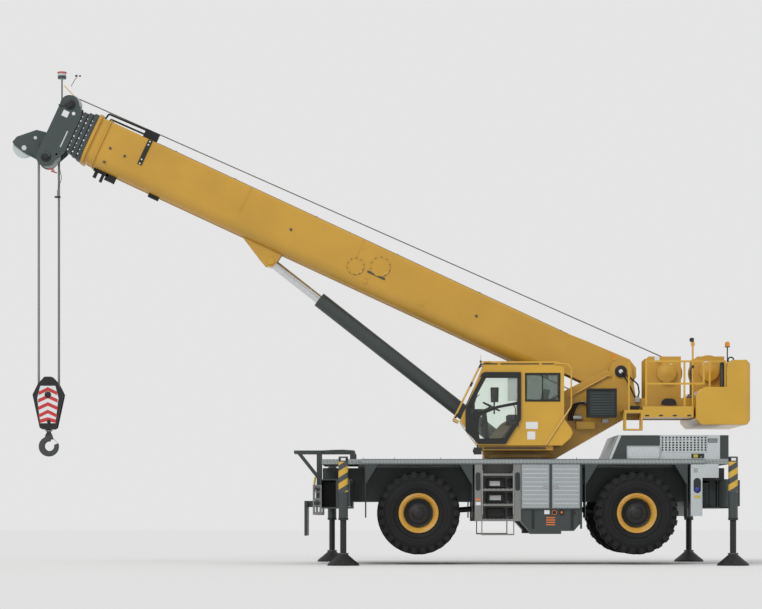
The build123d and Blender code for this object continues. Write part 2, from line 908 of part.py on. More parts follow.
windscreen = slope_pane((1680, 2880), (2076, 3850), 740)
toe_window = slope_pane((1935, 2410), (1700, 2733), 700)
with BuildPart() as cab_shell:
    with BuildSketch(side(shell_y)):
        outline(cab_outline)
    extrude(amount=shell_y - cab_inner_y)
    with BuildSketch(side(shell_y + cab_wall)):
        outline(cab_inside)
    extrude(amount=shell_y - cab_inner_y + 2 * cab_wall, mode=Mode.SUBTRACT)
    with BuildSketch(side(shell_y - 10)):
        outline(door_hole)
    extrude(amount=shell_y - cab_inner_y - 30, mode=Mode.SUBTRACT)
    with BuildSketch(side(shell_y - 10)):
        x0, x1, z0, z1 = side_window
        with Locations(((x0 + x1) / 2, (z0 + z1) / 2)):
            Rectangle(x1 - x0, z1 - z0)
    extrude(amount=shell_y - cab_inner_y - 30, mode=Mode.SUBTRACT)
    with BuildSketch(Plane.XY.offset(3900)):
        with Locations(((roof_window[0] + roof_window[1]) / 2, (cab_inner_y + shell_y) / 2)):
            Rectangle(roof_window[1] - roof_window[0], 600)
    extrude(amount=100, mode=Mode.SUBTRACT)
    with BuildSketch(Plane.YZ.offset(3600)):
        with Locations(((cab_inner_y + shell_y) / 2, 3450)):
            Rectangle(640, 560)
    extrude(amount=100, mode=Mode.SUBTRACT)
    for plane, length, width in (windscreen, toe_window):
        with BuildSketch(plane):
            Rectangle(length, width)
        extrude(amount=120, both=True, mode=Mode.SUBTRACT)
    with BuildSketch(side(shell_y)):
        outline([
            (3659, 2850),
            (3800, 2655),
            (3830, 2570),
            (3785, 2470),
            (3625, cab_floor),
            (3301, cab_floor),
            (3659, 2859),
        ])
    extrude(amount=shell_y - cab_inner_y)
save(cab_shell.part, "cab_shell")

with BuildPart() as cab_glass:
    for y in (shell_y + 15, cab_inner_y - 15 - glass):
        with BuildSketch(side(y)):
            x0, x1, z0, z1 = side_window
            with Locations(((x0 + x1) / 2, (z0 + z1) / 2)):
                Rectangle(x1 - x0, z1 - z0)
        extrude(amount=-glass)
    with BuildSketch(side(cab_inner_y - 15 - glass)):
        outline(door_hole)
    extrude(amount=-glass)
    with BuildSketch(Plane.XY.offset(3935)):
        with Locations(((roof_window[0] + roof_window[1]) / 2, (cab_inner_y + shell_y) / 2)):
            Rectangle(roof_window[1] - roof_window[0], 600)
    extrude(amount=glass)
    with BuildSketch(Plane.YZ.offset(3630)):
        with Locations(((cab_inner_y + shell_y) / 2, 3450)):
            Rectangle(640, 560)
    extrude(amount=glass)
    for plane, length, width in (windscreen, toe_window):
        with BuildSketch(plane):
            Rectangle(length, width)
        extrude(amount=glass)
save(cab_glass.part, "cab_glass")

with BuildPart() as cab_door:
    with BuildSketch(side(cab_outer_y + door_thickness)):
        outline(door_outline)
        with BuildSketch(mode=Mode.PRIVATE) as panes:
            outline(upper_pane)
            outline(lower_pane)
        add(panes.sketch, mode=Mode.SUBTRACT)
    extrude(amount=door_thickness)
save(cab_door.part, "cab_door")

with BuildPart() as door_glass:
    with BuildSketch(side(cab_outer_y + door_thickness - 12)):
        outline(upper_pane)
        outline(lower_pane)
    extrude(amount=glass)
save(door_glass.part, "door_glass")

seat_y = (cab_inner_y + shell_y) / 2
with BuildPart() as cab_seat:
    carrier_block(2700, 3250, 2370, 2620, seat_y - 200, seat_y + 200)
    carrier_block(2650, 3230, 2620, 2760, seat_y - 250, seat_y + 250)
    with BuildSketch(side(seat_y)):
        outline([(3100, 2760), (3240, 2760), (3400, 3420), (3280, 3440)])
    extrude(amount=240, both=True)
    for y in sides.values():
        carrier_block(2560, 3130, 2760, 2930, seat_y + y * 250, seat_y + y * 350)
save(cab_seat.part, "cab_seat")

with BuildPart() as cab_controls:
    carrier_block(2020, 2230, 2370, 2420, seat_y - 200, seat_y + 200)
    with BuildSketch(side(seat_y)):
        outline([(2120, 2420), (2220, 2420), (2150, 3050), (1930, 3050), (1930, 2990), (2060, 2980)])
    extrude(amount=90, both=True)
    with BuildSketch(
        Plane(origin=(2250, seat_y, 3090), x_dir=(0, 1, 0), z_dir=(0.45, 0, 0.893))
    ):
        Circle(190)
        Circle(165, mode=Mode.SUBTRACT)
        Rectangle(350, 30)
    extrude(amount=24)
    with BuildSketch(side(seat_y)):
        outline([(2100, 3040), (2150, 3020), (2275, 3095), (2240, 3115)])
    extrude(amount=22, both=True)
    carrier_block(1900, 1935, 3040, 3230, seat_y + 120, seat_y + 330)
    carrier_block(1900, 2050, 3000, 3050, seat_y + 80, seat_y + 260)
save(cab_controls.part, "cab_controls")


# Boom: the base section with its foot, collar and the ears for the lift cylinder's eye
base_start = 1250
base_rounds = (boom_top_round, boom_belly_round)
top_v = boom_depth / 2 - boom_axis_drop
belly_v = -boom_depth / 2 - boom_axis_drop

with BuildPart() as boom_base:
    with BuildSketch(boom_cut(base_start, -boom_axis_drop)):
        boom_ring(boom_width, boom_depth, base_rounds, boom_wall)
    extrude(amount=base_front - base_start)
    for collar_u, wide in ((base_front - 60, 46), (base_front - 260, 30)):
        with BuildSketch(boom_cut(collar_u, -boom_axis_drop)):
            boom_ring(
                boom_width + 2 * wide,
                boom_depth + 2 * wide,
                (boom_top_round + wide, boom_belly_round + wide),
            )
            boom_ring_inner = (boom_width - 2 * boom_wall, boom_depth - 2 * boom_wall)
            with BuildSketch(mode=Mode.PRIVATE) as bore:
                Rectangle(*boom_ring_inner)
                fillet(bore.vertices().group_by(Axis.Y)[-1], boom_top_round - boom_wall / 2)
                fillet(bore.vertices().group_by(Axis.Y)[0], boom_belly_round - boom_wall)
            add(bore.sketch, mode=Mode.SUBTRACT)
        extrude(amount=60 if wide > 40 else 25)
    for y in sides.values():
        with BuildSketch(boom_side.offset(y * boom_width / 2)):
            outline([
                (base_start + 700, top_v - 90),
                (base_start, top_v),
                (920, top_v + 20),
                (-60, 300),
                (-250, 200),
                (base_rear, 40),
                (-300, -140),
                (-140, -290),
                (500, -500),
                (base_start + 300, belly_v + boom_belly_round - 20),
                (base_start + 700, belly_v + boom_belly_round + 40),
            ])
        extrude(amount=-y * foot_plate)
    with BuildSketch(boom_side):
        outline([(base_start - 200, top_v - 30), (150, 255), (150, 225), (base_start - 200, top_v - 60)])
    extrude(amount=boom_width / 2 - foot_plate, both=True)
    with BuildSketch(boom_side):
        Circle(pivot_radius + 50)
    extrude(amount=boom_width / 2 - foot_plate, both=True)
    for y in sides.values():
        with BuildSketch(boom_side.offset(y * (lift_eye_half + ear_gap))):
            outline([
                (lug_u + 720, belly_v + 2),
                (lug_u + 230, lug_v - 50),
                (lug_u + 60, lug_v - 130),
                (lug_u - 80, lug_v - 105),
                (lug_u - 120, lug_v + 20),
                (lug_u - 150, belly_v + 2),
            ])
        extrude(amount=y * lift_ear)
        with BuildSketch(boom_side.offset(y * (lift_eye_half + ear_gap + lift_ear))):
            with Locations((lug_u, lug_v)):
                Circle(pin_radius + 20)
        extrude(amount=y * 20)
    with BuildSketch(boom_side):
        Circle(pivot_radius + 1)
    extrude(amount=boom_width, both=True, mode=Mode.SUBTRACT)
save(boom_base.part, "boom_base")


def section_size(index):
    less = section_step * index
    rounds = (boom_top_round - less / 10, boom_belly_round - less / 2)
    return boom_width - less, boom_depth - less, rounds


def add_collar(index, start, length):
    """A collar round the open part, at the front of one telescoping section."""
    width, depth, rounds = section_size(index)
    with BuildSketch(boom_cut(start, -boom_axis_drop), mode=Mode.PRIVATE) as ring:
        boom_ring(
            width + 2 * collar_proud,
            depth + 2 * collar_proud,
            (rounds[0] + collar_proud, rounds[1] + collar_proud),
        )
        with BuildSketch(mode=Mode.PRIVATE) as bore:
            Rectangle(width - 2 * boom_wall, depth - 2 * boom_wall)
            fillet(bore.vertices().group_by(Axis.Y)[-1], rounds[0] - boom_wall / 2)
            fillet(bore.vertices().group_by(Axis.Y)[0], rounds[1] - boom_wall)
        add(bore.sketch, mode=Mode.SUBTRACT)
    extrude(ring.sketch, amount=length)


for index in range(1, section_count):
    width, depth, rounds = section_size(index)
    start = base_front + 12 + (index - 1) * collar_pitch
    with BuildPart() as section:
        with BuildSketch(boom_cut(section_rear + 160 * index, -boom_axis_drop)):
            boom_ring(width, depth, rounds, boom_wall)
        extrude(amount=start + collar_length - section_rear - 160 * index)
        add_collar(index, start, collar_length)
    save(section.part, f"boom_section_{index + 1}")

# Head: the innermost section, its side plates, sheaves, the nose sheave and the lamp on its post
lamp_x = -6265
lamp_y = head_half_width + head_plate / 2
lamp_foot_z = 9120
lamp_z = 9650
lamp_top_z = 9790
width, depth, rounds = section_size(section_count)
with BuildPart() as boom_head:
    with BuildSketch(boom_cut(section_rear + 160 * section_count, -boom_axis_drop)):
        boom_ring(width, depth, rounds, boom_wall)
    extrude(amount=head_start + 60 - section_rear - 160 * section_count)
    with BuildSketch(boom_cut(head_start, -boom_axis_drop)):
        Rectangle(2 * head_half_width, depth + 60)
    extrude(amount=60)
    for y in sides.values():
        with BuildSketch(boom_side.offset(y * head_half_width)):
            outline([
                (head_start, 120),
                (11975, 270),
                (12100, upper_sheave_v),
                (12100, lower_sheave_v),
                (12009, -1010),
                (head_start, -700),
            ])
            with Locations((upper_sheave_u, upper_sheave_v), (12170, lower_sheave_v - 50)):
                Circle(190)
            with Locations(((upper_sheave_u + 12170) / 2, (upper_sheave_v + lower_sheave_v) / 2 - 20)):
                Rectangle(370, upper_sheave_v - lower_sheave_v + 20)
        extrude(amount=y * head_plate)
        with BuildSketch(boom_side.offset(y * (head_half_width + head_plate))):
            with Locations((upper_sheave_u, upper_sheave_v), (lower_sheave_u, lower_sheave_v)):
                Circle(58)
        extrude(amount=y * 24)
    for y in sides.values():
        with BuildSketch(boom_side.offset(y * 30)):
            outline([
                (12300, -1050),
                (12645, -1030),
                (12880, -975),
                (12938, -932),
                (12900, -800),
                (12600, -512),
                (12406, -473),
                (12300, -600),
            ])
        extrude(amount=y * 20)
        with BuildSketch(boom_side.offset(y * 50)):
            outline([(12290, -625), (12350, -625), (12350, -500), (12290, -500)])
        extrude(amount=y * (head_half_width - 50))
    with BuildSketch(boom_side):
        with Locations((nose_sheave_u, nose_sheave_v)):
            Circle(50)
    extrude(amount=60, both=True)
    for u, v in ((upper_sheave_u, upper_sheave_v), (lower_sheave_u, lower_sheave_v)):
        with BuildSketch(boom_side):
            with Locations((u, v)):
                Circle(50)
        extrude(amount=head_half_width, both=True)
    with BuildSketch(boom_side.offset(-30)):
        with Locations((nose_sheave_u - 150, nose_sheave_v + 220)):
            Circle(20)
    extrude(amount=60)
    with Locations((lamp_x, -lamp_y, lamp_foot_z + 12)):
        Box(130, 90, 24)
    for radius, low, high in ((14, lamp_foot_z, lamp_z), (84, lamp_z, lamp_z + 60), (70, lamp_z + 60, lamp_top_z)):
        with BuildSketch(Plane.XY.offset(low)):
            with Locations((lamp_x, -lamp_y)):
                Circle(radius)
        extrude(amount=high - low)
save(boom_head.part, "boom_head")


def sheave(u, v, y, radius):
    """A grooved sheave on the open part, at a distance y from the centreline."""
    section = Plane(origin=foot + along * u + across * v, x_dir=along, z_dir=across)
    with BuildSketch(section, mode=Mode.PRIVATE) as half:
        outline([
            (50, -y - 24),
            (radius + 22, -y - 24),
            (radius + 22, -y - 19),
            (radius - 14, -y - 9),
            (radius - 14, -y + 9),
            (radius + 22, -y + 19),
            (radius + 22, -y + 24),
            (50, -y + 24),
        ])
    revolve(half.sketch, axis=Axis(foot + along * u + across * v, (0, 1, 0)))


with BuildPart() as head_sheaves:
    for y in (-fall_spacing / 2, fall_spacing / 2):
        sheave(lower_sheave_u, lower_sheave_v, y, sheave_radius)
    sheave(upper_sheave_u, upper_sheave_v, 0, sheave_radius)
    sheave(nose_sheave_u, nose_sheave_v, 0, sheave_radius)
save(head_sheaves.part, "head_sheaves")

# Hoist line from the head back along the boom, as it lies with the boom drawn in
line_head = foot + along * upper_sheave_u + across * (upper_sheave_v + sheave_radius)
line_rise = 0.0189       # the line leaves the boom this steeply towards the winch
line_end_u = 350
line_dir = (-along + across * line_rise).normalized()
with BuildPart() as hoist_line:
    with BuildSketch(Plane(origin=line_head, x_dir=(0, 1, 0), z_dir=line_dir)):
        Circle(rope_radius)
    extrude(amount=upper_sheave_u - line_end_u)
save(hoist_line.part, "hoist_line")


# Lift cylinder: barrel, sleeve and rod; its rod's eye stands free between the boom's ears
def lift_cut(run):
    """A plane across the lift cylinder, run along it from the base pin."""
    return Plane(origin=lift_base + lift_dir * run, x_dir=(0, 1, 0), z_dir=lift_dir)


mouth_run = lift_length - barrel_mouth
with BuildPart() as lift_barrel:
    with BuildSketch(lift_cut(190)):
        Circle(barrel_radius)
    extrude(amount=mouth_run - 190)
    with BuildSketch(lift_cut(240)):
        Circle(sleeve_radius + slide_gap)
    extrude(amount=mouth_run, mode=Mode.SUBTRACT)
    with BuildSketch(lift_side):
        Circle(barrel_radius - 12)
        with Locations((100, 0)):
            Rectangle(200, 2 * barrel_radius - 60)
    extrude(amount=lift_eye_half, both=True)
    with BuildSketch(lift_side):
        Circle(pin_radius + 1)
    extrude(amount=lift_eye_half, both=True, mode=Mode.SUBTRACT)
save(lift_barrel.part, "lift_barrel")

with BuildPart() as lift_sleeve:
    with BuildSketch(lift_cut(mouth_run - 10 - sleeve_length)):
        Circle(sleeve_radius)
        Circle(rod_radius + slide_gap, mode=Mode.SUBTRACT)
    extrude(amount=sleeve_length)
save(lift_sleeve.part, "lift_sleeve")

with BuildPart() as lift_rod:
    with BuildSketch(lift_cut(lift_length - rod_length)):
        Circle(rod_radius)
    extrude(amount=rod_length)
    with BuildSketch(Plane(origin=lug, x_dir=lift_dir, z_dir=(0, 1, 0))):
        Circle(lift_eye_radius)
    extrude(amount=lift_eye_half, both=True)
    with BuildSketch(lift_cut(lift_length)):
        Rectangle(400, 400)
    extrude(amount=400, mode=Mode.SUBTRACT)
    with BuildSketch(Plane(origin=lug, x_dir=lift_dir, z_dir=(0, 1, 0))):
        Circle(lift_eye_radius)
    extrude(amount=lift_eye_half, both=True)
save(lift_rod.part, "lift_rod")

# Falls, hook block and hook, hanging plumb from the lower head sheaves
block_x = lower_sheave.X
block_axle_z = block_wide_z
with BuildPart() as falls:
    with BuildSketch(Plane.XY.offset(block_axle_z)):
        for x in (-sheave_radius, sheave_radius):
            for y in (-fall_spacing / 2, fall_spacing / 2):
                with Locations((block_x + x, y)):
                    Circle(rope_radius)
    extrude(amount=lower_sheave.Z - block_axle_z)
save(falls.part, "falls")

cheek = 45
cheek_profile = [
    (-70, block_top_z),
    (-200, block_top_z - 140),
    (-block_half_width, block_wide_z),
    (-165, block_bottom_z + 30),
    (-110, block_bottom_z),
    (110, block_bottom_z),
    (165, block_bottom_z + 30),
    (block_half_width, block_wide_z),
    (200, block_top_z - 140),
    (70, block_top_z),
]
with BuildPart() as hook_block:
    for y in sides.values():
        with BuildSketch(side(y * (block_thickness / 2 - cheek))):
            outline([(block_x + x, z) for x, z in cheek_profile])
        extrude(amount=-y * cheek)
    with BuildSketch(side(0)):
        with Locations((block_x, block_axle_z)):
            Circle(45)
    extrude(amount=block_thickness / 2, both=True)
    for y in (-fall_spacing / 2, fall_spacing / 2):
        with BuildSketch(side(y + 20)):
            with Locations((block_x, block_axle_z)):
                Circle(sheave_radius - rope_radius - 2)
        extrude(amount=40)
    carrier_block(
        block_x - 100,
        block_x + 100,
        block_bottom_z,
        block_bottom_z + 260,
        cheek - block_thickness / 2,
        block_thickness / 2 - cheek,
    )
    with BuildSketch(Plane.XY.offset(block_bottom_z)):
        with Locations((block_x, 0)):
            Circle(shank_radius + 1)
    extrude(amount=shank_reach + 20, mode=Mode.SUBTRACT)
save(hook_block.part, "hook_block")

hook_centre = (block_x, hook_bottom_z + hook_outer_radius)
bowl_x = hook_centre[0] + hook_bowl_shift
with BuildPart() as hook:
    with BuildSketch(side(0)):
        with Locations(hook_centre):
            Circle(hook_outer_radius)
        with Locations((bowl_x, hook_centre[1] + 5)):
            Circle(hook_bowl_radius, mode=Mode.SUBTRACT)
        with BuildSketch(mode=Mode.PRIVATE) as mouth:
            outline([
                (bowl_x, hook_centre[1]),
                (hook_centre[0] + 260, hook_centre[1] + 90),
                (hook_centre[0] + 260, hook_centre[1] + 260),
                (hook_centre[0] + 62, hook_centre[1] + 260),
            ])
        add(mouth.sketch, mode=Mode.SUBTRACT)
        with Locations((hook_centre[0], hook_centre[1] + 200)):
            Trapezoid(190, 120, 72)
    extrude(amount=hook_half_width, both=True)
    chamfer(hook.edges().filter_by(Plane.XZ).group_by(Axis.Y)[0], hook_edge)
    chamfer(hook.edges().filter_by(Plane.XZ).group_by(Axis.Y)[-1], hook_edge)
    with BuildSketch(Plane.XY.offset(hook_centre[1] + 240)):
        with Locations((block_x, 0)):
            Circle(shank_radius)
    extrude(amount=block_bottom_z + shank_reach - hook_centre[1] - 240)
save(hook.part, "hook")
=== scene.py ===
from contextlib import contextmanager
import json
import math

import bmesh
import bpy
from mathutils import Matrix, Vector


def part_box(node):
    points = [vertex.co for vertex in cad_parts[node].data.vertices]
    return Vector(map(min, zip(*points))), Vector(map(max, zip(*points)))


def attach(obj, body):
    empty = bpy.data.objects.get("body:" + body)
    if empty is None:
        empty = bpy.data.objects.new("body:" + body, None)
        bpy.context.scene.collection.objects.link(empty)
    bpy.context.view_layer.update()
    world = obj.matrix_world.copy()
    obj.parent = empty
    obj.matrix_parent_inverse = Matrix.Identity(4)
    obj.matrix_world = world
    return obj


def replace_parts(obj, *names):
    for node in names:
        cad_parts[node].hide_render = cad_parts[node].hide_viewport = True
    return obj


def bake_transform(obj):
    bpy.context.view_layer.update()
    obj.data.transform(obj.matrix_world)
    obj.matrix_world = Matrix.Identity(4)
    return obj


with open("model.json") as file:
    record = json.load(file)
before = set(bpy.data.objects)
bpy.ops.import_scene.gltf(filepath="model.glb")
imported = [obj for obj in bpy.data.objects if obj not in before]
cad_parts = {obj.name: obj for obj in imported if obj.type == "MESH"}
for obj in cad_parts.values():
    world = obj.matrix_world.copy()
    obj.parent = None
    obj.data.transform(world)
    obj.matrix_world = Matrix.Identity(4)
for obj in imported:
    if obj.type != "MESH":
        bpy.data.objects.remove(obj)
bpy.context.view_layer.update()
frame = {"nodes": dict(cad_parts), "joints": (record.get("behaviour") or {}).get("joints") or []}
sides = {"left": -1, "right": 1}
ends = ("front", "rear")
print("frame loaded")

# Places that many pieces share, in metres, read off the CAD's own hinges
jointAt = {joint["name"]: Vector(joint["pos_m"]) for joint in frame["joints"] if "pos_m" in joint}
footPin = jointAt["boom_raise"]
boomLean = math.radians(24.94)
boomAlong = Vector((-math.cos(boomLean), 0, math.sin(boomLean)))
boomAcross = Vector((math.sin(boomLean), 0, math.cos(boomLean)))


def onBoom(along, across, y):
    # A place on the boom: metres from the foot pin along it, and across it upwards
    return footPin + boomAlong * along + boomAcross * across + Vector((0, y, 0))


# Camera, floor and light
photoCamera = {
    "place": (0.085, -54.0, 0.91),
    "focalPixels": 2700,
    "imageWidth": 762,
    "imageHeight": 609,
    "horizonRow": 518,
    "sensorWidth": 36,
}


def setCamera():
    data = bpy.data.cameras.new("photoCamera")
    camera = bpy.data.objects.new("photoCamera", data)
    bpy.context.collection.objects.link(camera)
    camera.location = photoCamera["place"]
    camera.rotation_euler = (math.radians(90), 0, 0)
    data.sensor_width = photoCamera["sensorWidth"]
    data.sensor_fit = "HORIZONTAL"
    data.lens = data.sensor_width * photoCamera["focalPixels"] / photoCamera["imageWidth"]
    rise = photoCamera["horizonRow"] - photoCamera["imageHeight"] / 2
    data.shift_y = rise / photoCamera["imageWidth"]
    data.clip_end = 400
    bpy.context.scene.camera = camera


studio = {
    "backdrop": (0.783, 0.783, 0.783),
    "floorColour": (0.84, 0.84, 0.84),
    "worldLight": 0.60,
    "keyLight": 1.25,
    "keyTurn": (math.radians(52), math.radians(-8), math.radians(-24)),
    "keySoftness": math.radians(28),
    "fillLight": 0.40,
    "fillTurn": (math.radians(64), 0, math.radians(70)),
    "fillSoftness": math.radians(60),
}


def setStudio():
    scene = bpy.context.scene
    scene.view_settings.view_transform = "Standard"
    world = bpy.data.worlds.new("studioWorld")
    scene.world = world
    world.use_nodes = True
    nodes, links = world.node_tree.nodes, world.node_tree.links
    lightPath = nodes.new("ShaderNodeLightPath")
    seen = nodes.new("ShaderNodeMath")
    seen.operation = "MAXIMUM"
    links.new(lightPath.outputs["Is Camera Ray"], seen.inputs[0])
    links.new(lightPath.outputs["Is Transmission Ray"], seen.inputs[1])
    sky = nodes["Background"]
    sky.inputs["Color"].default_value = (1, 1, 1, 1)
    sky.inputs["Strength"].default_value = studio["worldLight"]
    backdrop = nodes.new("ShaderNodeBackground")
    backdrop.inputs["Color"].default_value = (*studio["backdrop"], 1)
    choose = nodes.new("ShaderNodeMixShader")
    links.new(seen.outputs[0], choose.inputs[0])
    links.new(sky.outputs[0], choose.inputs[1])
    links.new(backdrop.outputs[0], choose.inputs[2])
    links.new(choose.outputs[0], nodes["World Output"].inputs["Surface"])
    for name in ("key", "fill"):
        data = bpy.data.lights.new(name + "Light", "SUN")
        data.energy = studio[name + "Light"]
        data.angle = studio[name + "Softness"]
        lamp = bpy.data.objects.new(name + "Light", data)
        lamp.rotation_euler = studio[name + "Turn"]
        bpy.context.collection.objects.link(lamp)


def makeFloor():
    bm = bmesh.new()
    bmesh.ops.create_grid(bm, x_segments=1, y_segments=1, size=150)
    mesh = bpy.data.meshes.new("studioFloor")
    bm.to_mesh(mesh)
    bm.free()
    floor = bpy.data.objects.new("studioFloor", mesh)
    bpy.context.collection.objects.link(floor)
    material = bpy.data.materials.new("floorPaper")
    material.use_nodes = True
    shader = material.node_tree.nodes["Principled BSDF"]
    shader.inputs["Base Color"].default_value = (*studio["floorColour"], 1)
    shader.inputs["Roughness"].default_value = 1
    shader.inputs["Specular IOR Level"].default_value = 0
    mesh.materials.append(material)


setCamera()
setStudio()
makeFloor()
print("camera, floor and light set")

# Finishes


def newFinish(name):
    material = bpy.data.materials.new(name)
    material.use_nodes = True
    nodes, links = material.node_tree.nodes, material.node_tree.links
    return material, nodes, links, nodes["Principled BSDF"]


def objectNoise(nodes, links, scale, detail=4, roughness=0.5):
    place = nodes.new("ShaderNodeTexCoord")
    noise = nodes.new("ShaderNodeTexNoise")
    noise.inputs["Scale"].default_value = scale
    noise.inputs["Detail"].default_value = detail
    noise.inputs["Roughness"].default_value = roughness
    links.new(place.outputs["Object"], noise.inputs["Vector"])
    return noise.outputs["Fac"]


def ramp(nodes, links, source, low, high, colourLow, colourHigh):
    node = nodes.new("ShaderNodeValToRGB")
    node.color_ramp.elements[0].position = low
    node.color_ramp.elements[1].position = high
    node.color_ramp.elements[0].color = (*colourLow, 1)
    node.color_ramp.elements[1].color = (*colourHigh, 1)
    links.new(source, node.inputs["Fac"])
    return node.outputs["Color"]


def spread(nodes, links, source, low, high):
    node = nodes.new("ShaderNodeMapRange")
    node.inputs["To Min"].default_value = low
    node.inputs["To Max"].default_value = high
    links.new(source, node.inputs["Value"])
    return node.outputs["Result"]


def addBump(nodes, links, shader, source, strength, distance):
    bump = nodes.new("ShaderNodeBump")
    bump.inputs["Strength"].default_value = strength
    bump.inputs["Distance"].default_value = distance
    links.new(source, bump.inputs["Height"])
    links.new(bump.outputs["Normal"], shader.inputs["Normal"])


def mixed(nodes, links, factor, first, second):
    mix = nodes.new("ShaderNodeMix")
    mix.data_type = "RGBA"
    links.new(factor, mix.inputs["Factor"])
    for socket, value in ((mix.inputs["A"], first), (mix.inputs["B"], second)):
        if isinstance(value, tuple):
            socket.default_value = (*value, 1)
        else:
            links.new(value, socket)
    return mix.outputs["Result"]


def paint(name, look):
    # Sprayed paint or coated metal: patchy tone, a fine orange peel and specks of dust
    material, nodes, links, shader = newFinish(name)
    colour = look["colour"]
    shade = tuple(part * look.get("shade", 0.86) for part in colour)
    patches = objectNoise(nodes, links, look.get("patchScale", 0.9), 3)
    tone = ramp(nodes, links, patches, 0.35, 0.65, shade, colour)
    speck = objectNoise(nodes, links, look.get("speckScale", 34), 6, 0.7)
    mask = spread(nodes, links, speck, -0.35, 0.75)
    dusty = mixed(nodes, links, mask, tone, look.get("dust", tuple(part * 0.93 for part in colour)))
    links.new(dusty, shader.inputs["Base Color"])
    links.new(
        spread(nodes, links, speck, look["roughness"] - 0.06, look["roughness"] + 0.08),
        shader.inputs["Roughness"],
    )
    shader.inputs["Metallic"].default_value = look.get("metallic", 0.0)
    shader.inputs["Coat Weight"].default_value = look.get("coat", 0.0)
    shader.inputs["Coat Roughness"].default_value = 0.15
    peel = objectNoise(nodes, links, look.get("peelScale", 240), 2)
    addBump(nodes, links, shader, peel, look.get("peel", 0.06), 0.002)
    return material


def treadPlate(name, look):
    # Raised bars in two crossing directions, as on chequer plate
    material, nodes, links, shader = newFinish(name)
    place = nodes.new("ShaderNodeTexCoord")
    heights = []
    for turn in (45, -45):
        mapping = nodes.new("ShaderNodeMapping")
        mapping.inputs["Rotation"].default_value = (math.radians(turn),) * 3
        links.new(place.outputs["Object"], mapping.inputs["Vector"])
        wave = nodes.new("ShaderNodeTexWave")
        wave.inputs["Scale"].default_value = look["barScale"]
        links.new(mapping.outputs["Vector"], wave.inputs["Vector"])
        heights.append(wave.outputs["Fac"])
    crossing = nodes.new("ShaderNodeMath")
    crossing.operation = "MULTIPLY"
    links.new(heights[0], crossing.inputs[0])
    links.new(heights[1], crossing.inputs[1])
    bars = spread(nodes, links, crossing.outputs[0], 0, 1)
    tone = ramp(nodes, links, bars, 0.2, 0.8, look["low"], look["colour"])
    wear = objectNoise(nodes, links, 1.6, 4)
    links.new(
        mixed(nodes, links, spread(nodes, links, wear, -0.3, 0.6), tone, look["low"]),
        shader.inputs["Base Color"],
    )
    links.new(spread(nodes, links, wear, 0.32, 0.52), shader.inputs["Roughness"])
    shader.inputs["Metallic"].default_value = look["metallic"]
    addBump(nodes, links, shader, bars, 0.5, 0.004)
    return material


def rubber(name, look):
    material, nodes, links, shader = newFinish(name)
    grain = objectNoise(nodes, links, 55, 8, 0.65)
    patches = objectNoise(nodes, links, 3, 3)
    tone = ramp(nodes, links, patches, 0.3, 0.7, look["colour"], look["grey"])
    links.new(tone, shader.inputs["Base Color"])
    links.new(spread(nodes, links, grain, 0.62, 0.9), shader.inputs["Roughness"])
    shader.inputs["Specular IOR Level"].default_value = 0.35
    addBump(nodes, links, shader, grain, 0.25, 0.003)
    return material


def clearGlass(name, look):
    material, nodes, links, shader = newFinish(name)
    shader.inputs["Base Color"].default_value = (*look["colour"], 1)
    shader.inputs["Transmission Weight"].default_value = look["clear"]
    shader.inputs["IOR"].default_value = 1.45
    streaks = objectNoise(nodes, links, 2.2, 5)
    links.new(spread(nodes, links, streaks, 0.0, look["roughness"]), shader.inputs["Roughness"])
    return material


def brushed(name, look):
    # Bare metal with fine marks drawn out along one axis
    material, nodes, links, shader = newFinish(name)
    place = nodes.new("ShaderNodeTexCoord")
    mapping = nodes.new("ShaderNodeMapping")
    mapping.inputs["Scale"].default_value = look["stretch"]
    links.new(place.outputs["Object"], mapping.inputs["Vector"])
    noise = nodes.new("ShaderNodeTexNoise")
    noise.inputs["Scale"].default_value = 30
    links.new(mapping.outputs["Vector"], noise.inputs["Vector"])
    tone = ramp(nodes, links, noise.outputs["Fac"], 0.3, 0.7, look["low"], look["colour"])
    links.new(tone, shader.inputs["Base Color"])
    links.new(
        spread(nodes, links, noise.outputs["Fac"], look["roughness"], look["roughness"] + 0.15),
        shader.inputs["Roughness"],
    )
    shader.inputs["Metallic"].default_value = 1.0
    addBump(nodes, links, shader, noise.outputs["Fac"], 0.05, 0.001)
    return material


def stripes(name, look):
    # Slanting warning stripes in two paints, worked out from height and depth
    material, nodes, links, shader = newFinish(name)
    place = nodes.new("ShaderNodeTexCoord")
    split = nodes.new("ShaderNodeSeparateXYZ")
    links.new(place.outputs["Object"], split.inputs[0])
    slant = nodes.new("ShaderNodeMath")
    slant.operation = "MULTIPLY_ADD"
    slant.inputs[1].default_value = -look["slope"]
    links.new(split.outputs["X"], slant.inputs[0])
    links.new(split.outputs["Z"], slant.inputs[2])
    turns = nodes.new("ShaderNodeMath")
    turns.operation = "MULTIPLY_ADD"
    turns.inputs[1].default_value = 1 / look["pitch"]
    turns.inputs[2].default_value = look["offset"]
    links.new(slant.outputs[0], turns.inputs[0])
    part = nodes.new("ShaderNodeMath")
    part.operation = "FRACT"
    links.new(turns.outputs[0], part.inputs[0])
    step = nodes.new("ShaderNodeMath")
    step.operation = "GREATER_THAN"
    step.inputs[1].default_value = 1 - look["share"]
    links.new(part.outputs[0], step.inputs[0])
    wear = objectNoise(nodes, links, 25, 5)
    dark = ramp(nodes, links, wear, 0.3, 0.7, look["dark"], tuple(v * 1.2 for v in look["dark"]))
    light = ramp(nodes, links, wear, 0.3, 0.7, look["light"], tuple(v * 0.9 for v in look["light"]))
    links.new(mixed(nodes, links, step.outputs[0], dark, light), shader.inputs["Base Color"])
    links.new(spread(nodes, links, wear, 0.35, 0.5), shader.inputs["Roughness"])
    return material


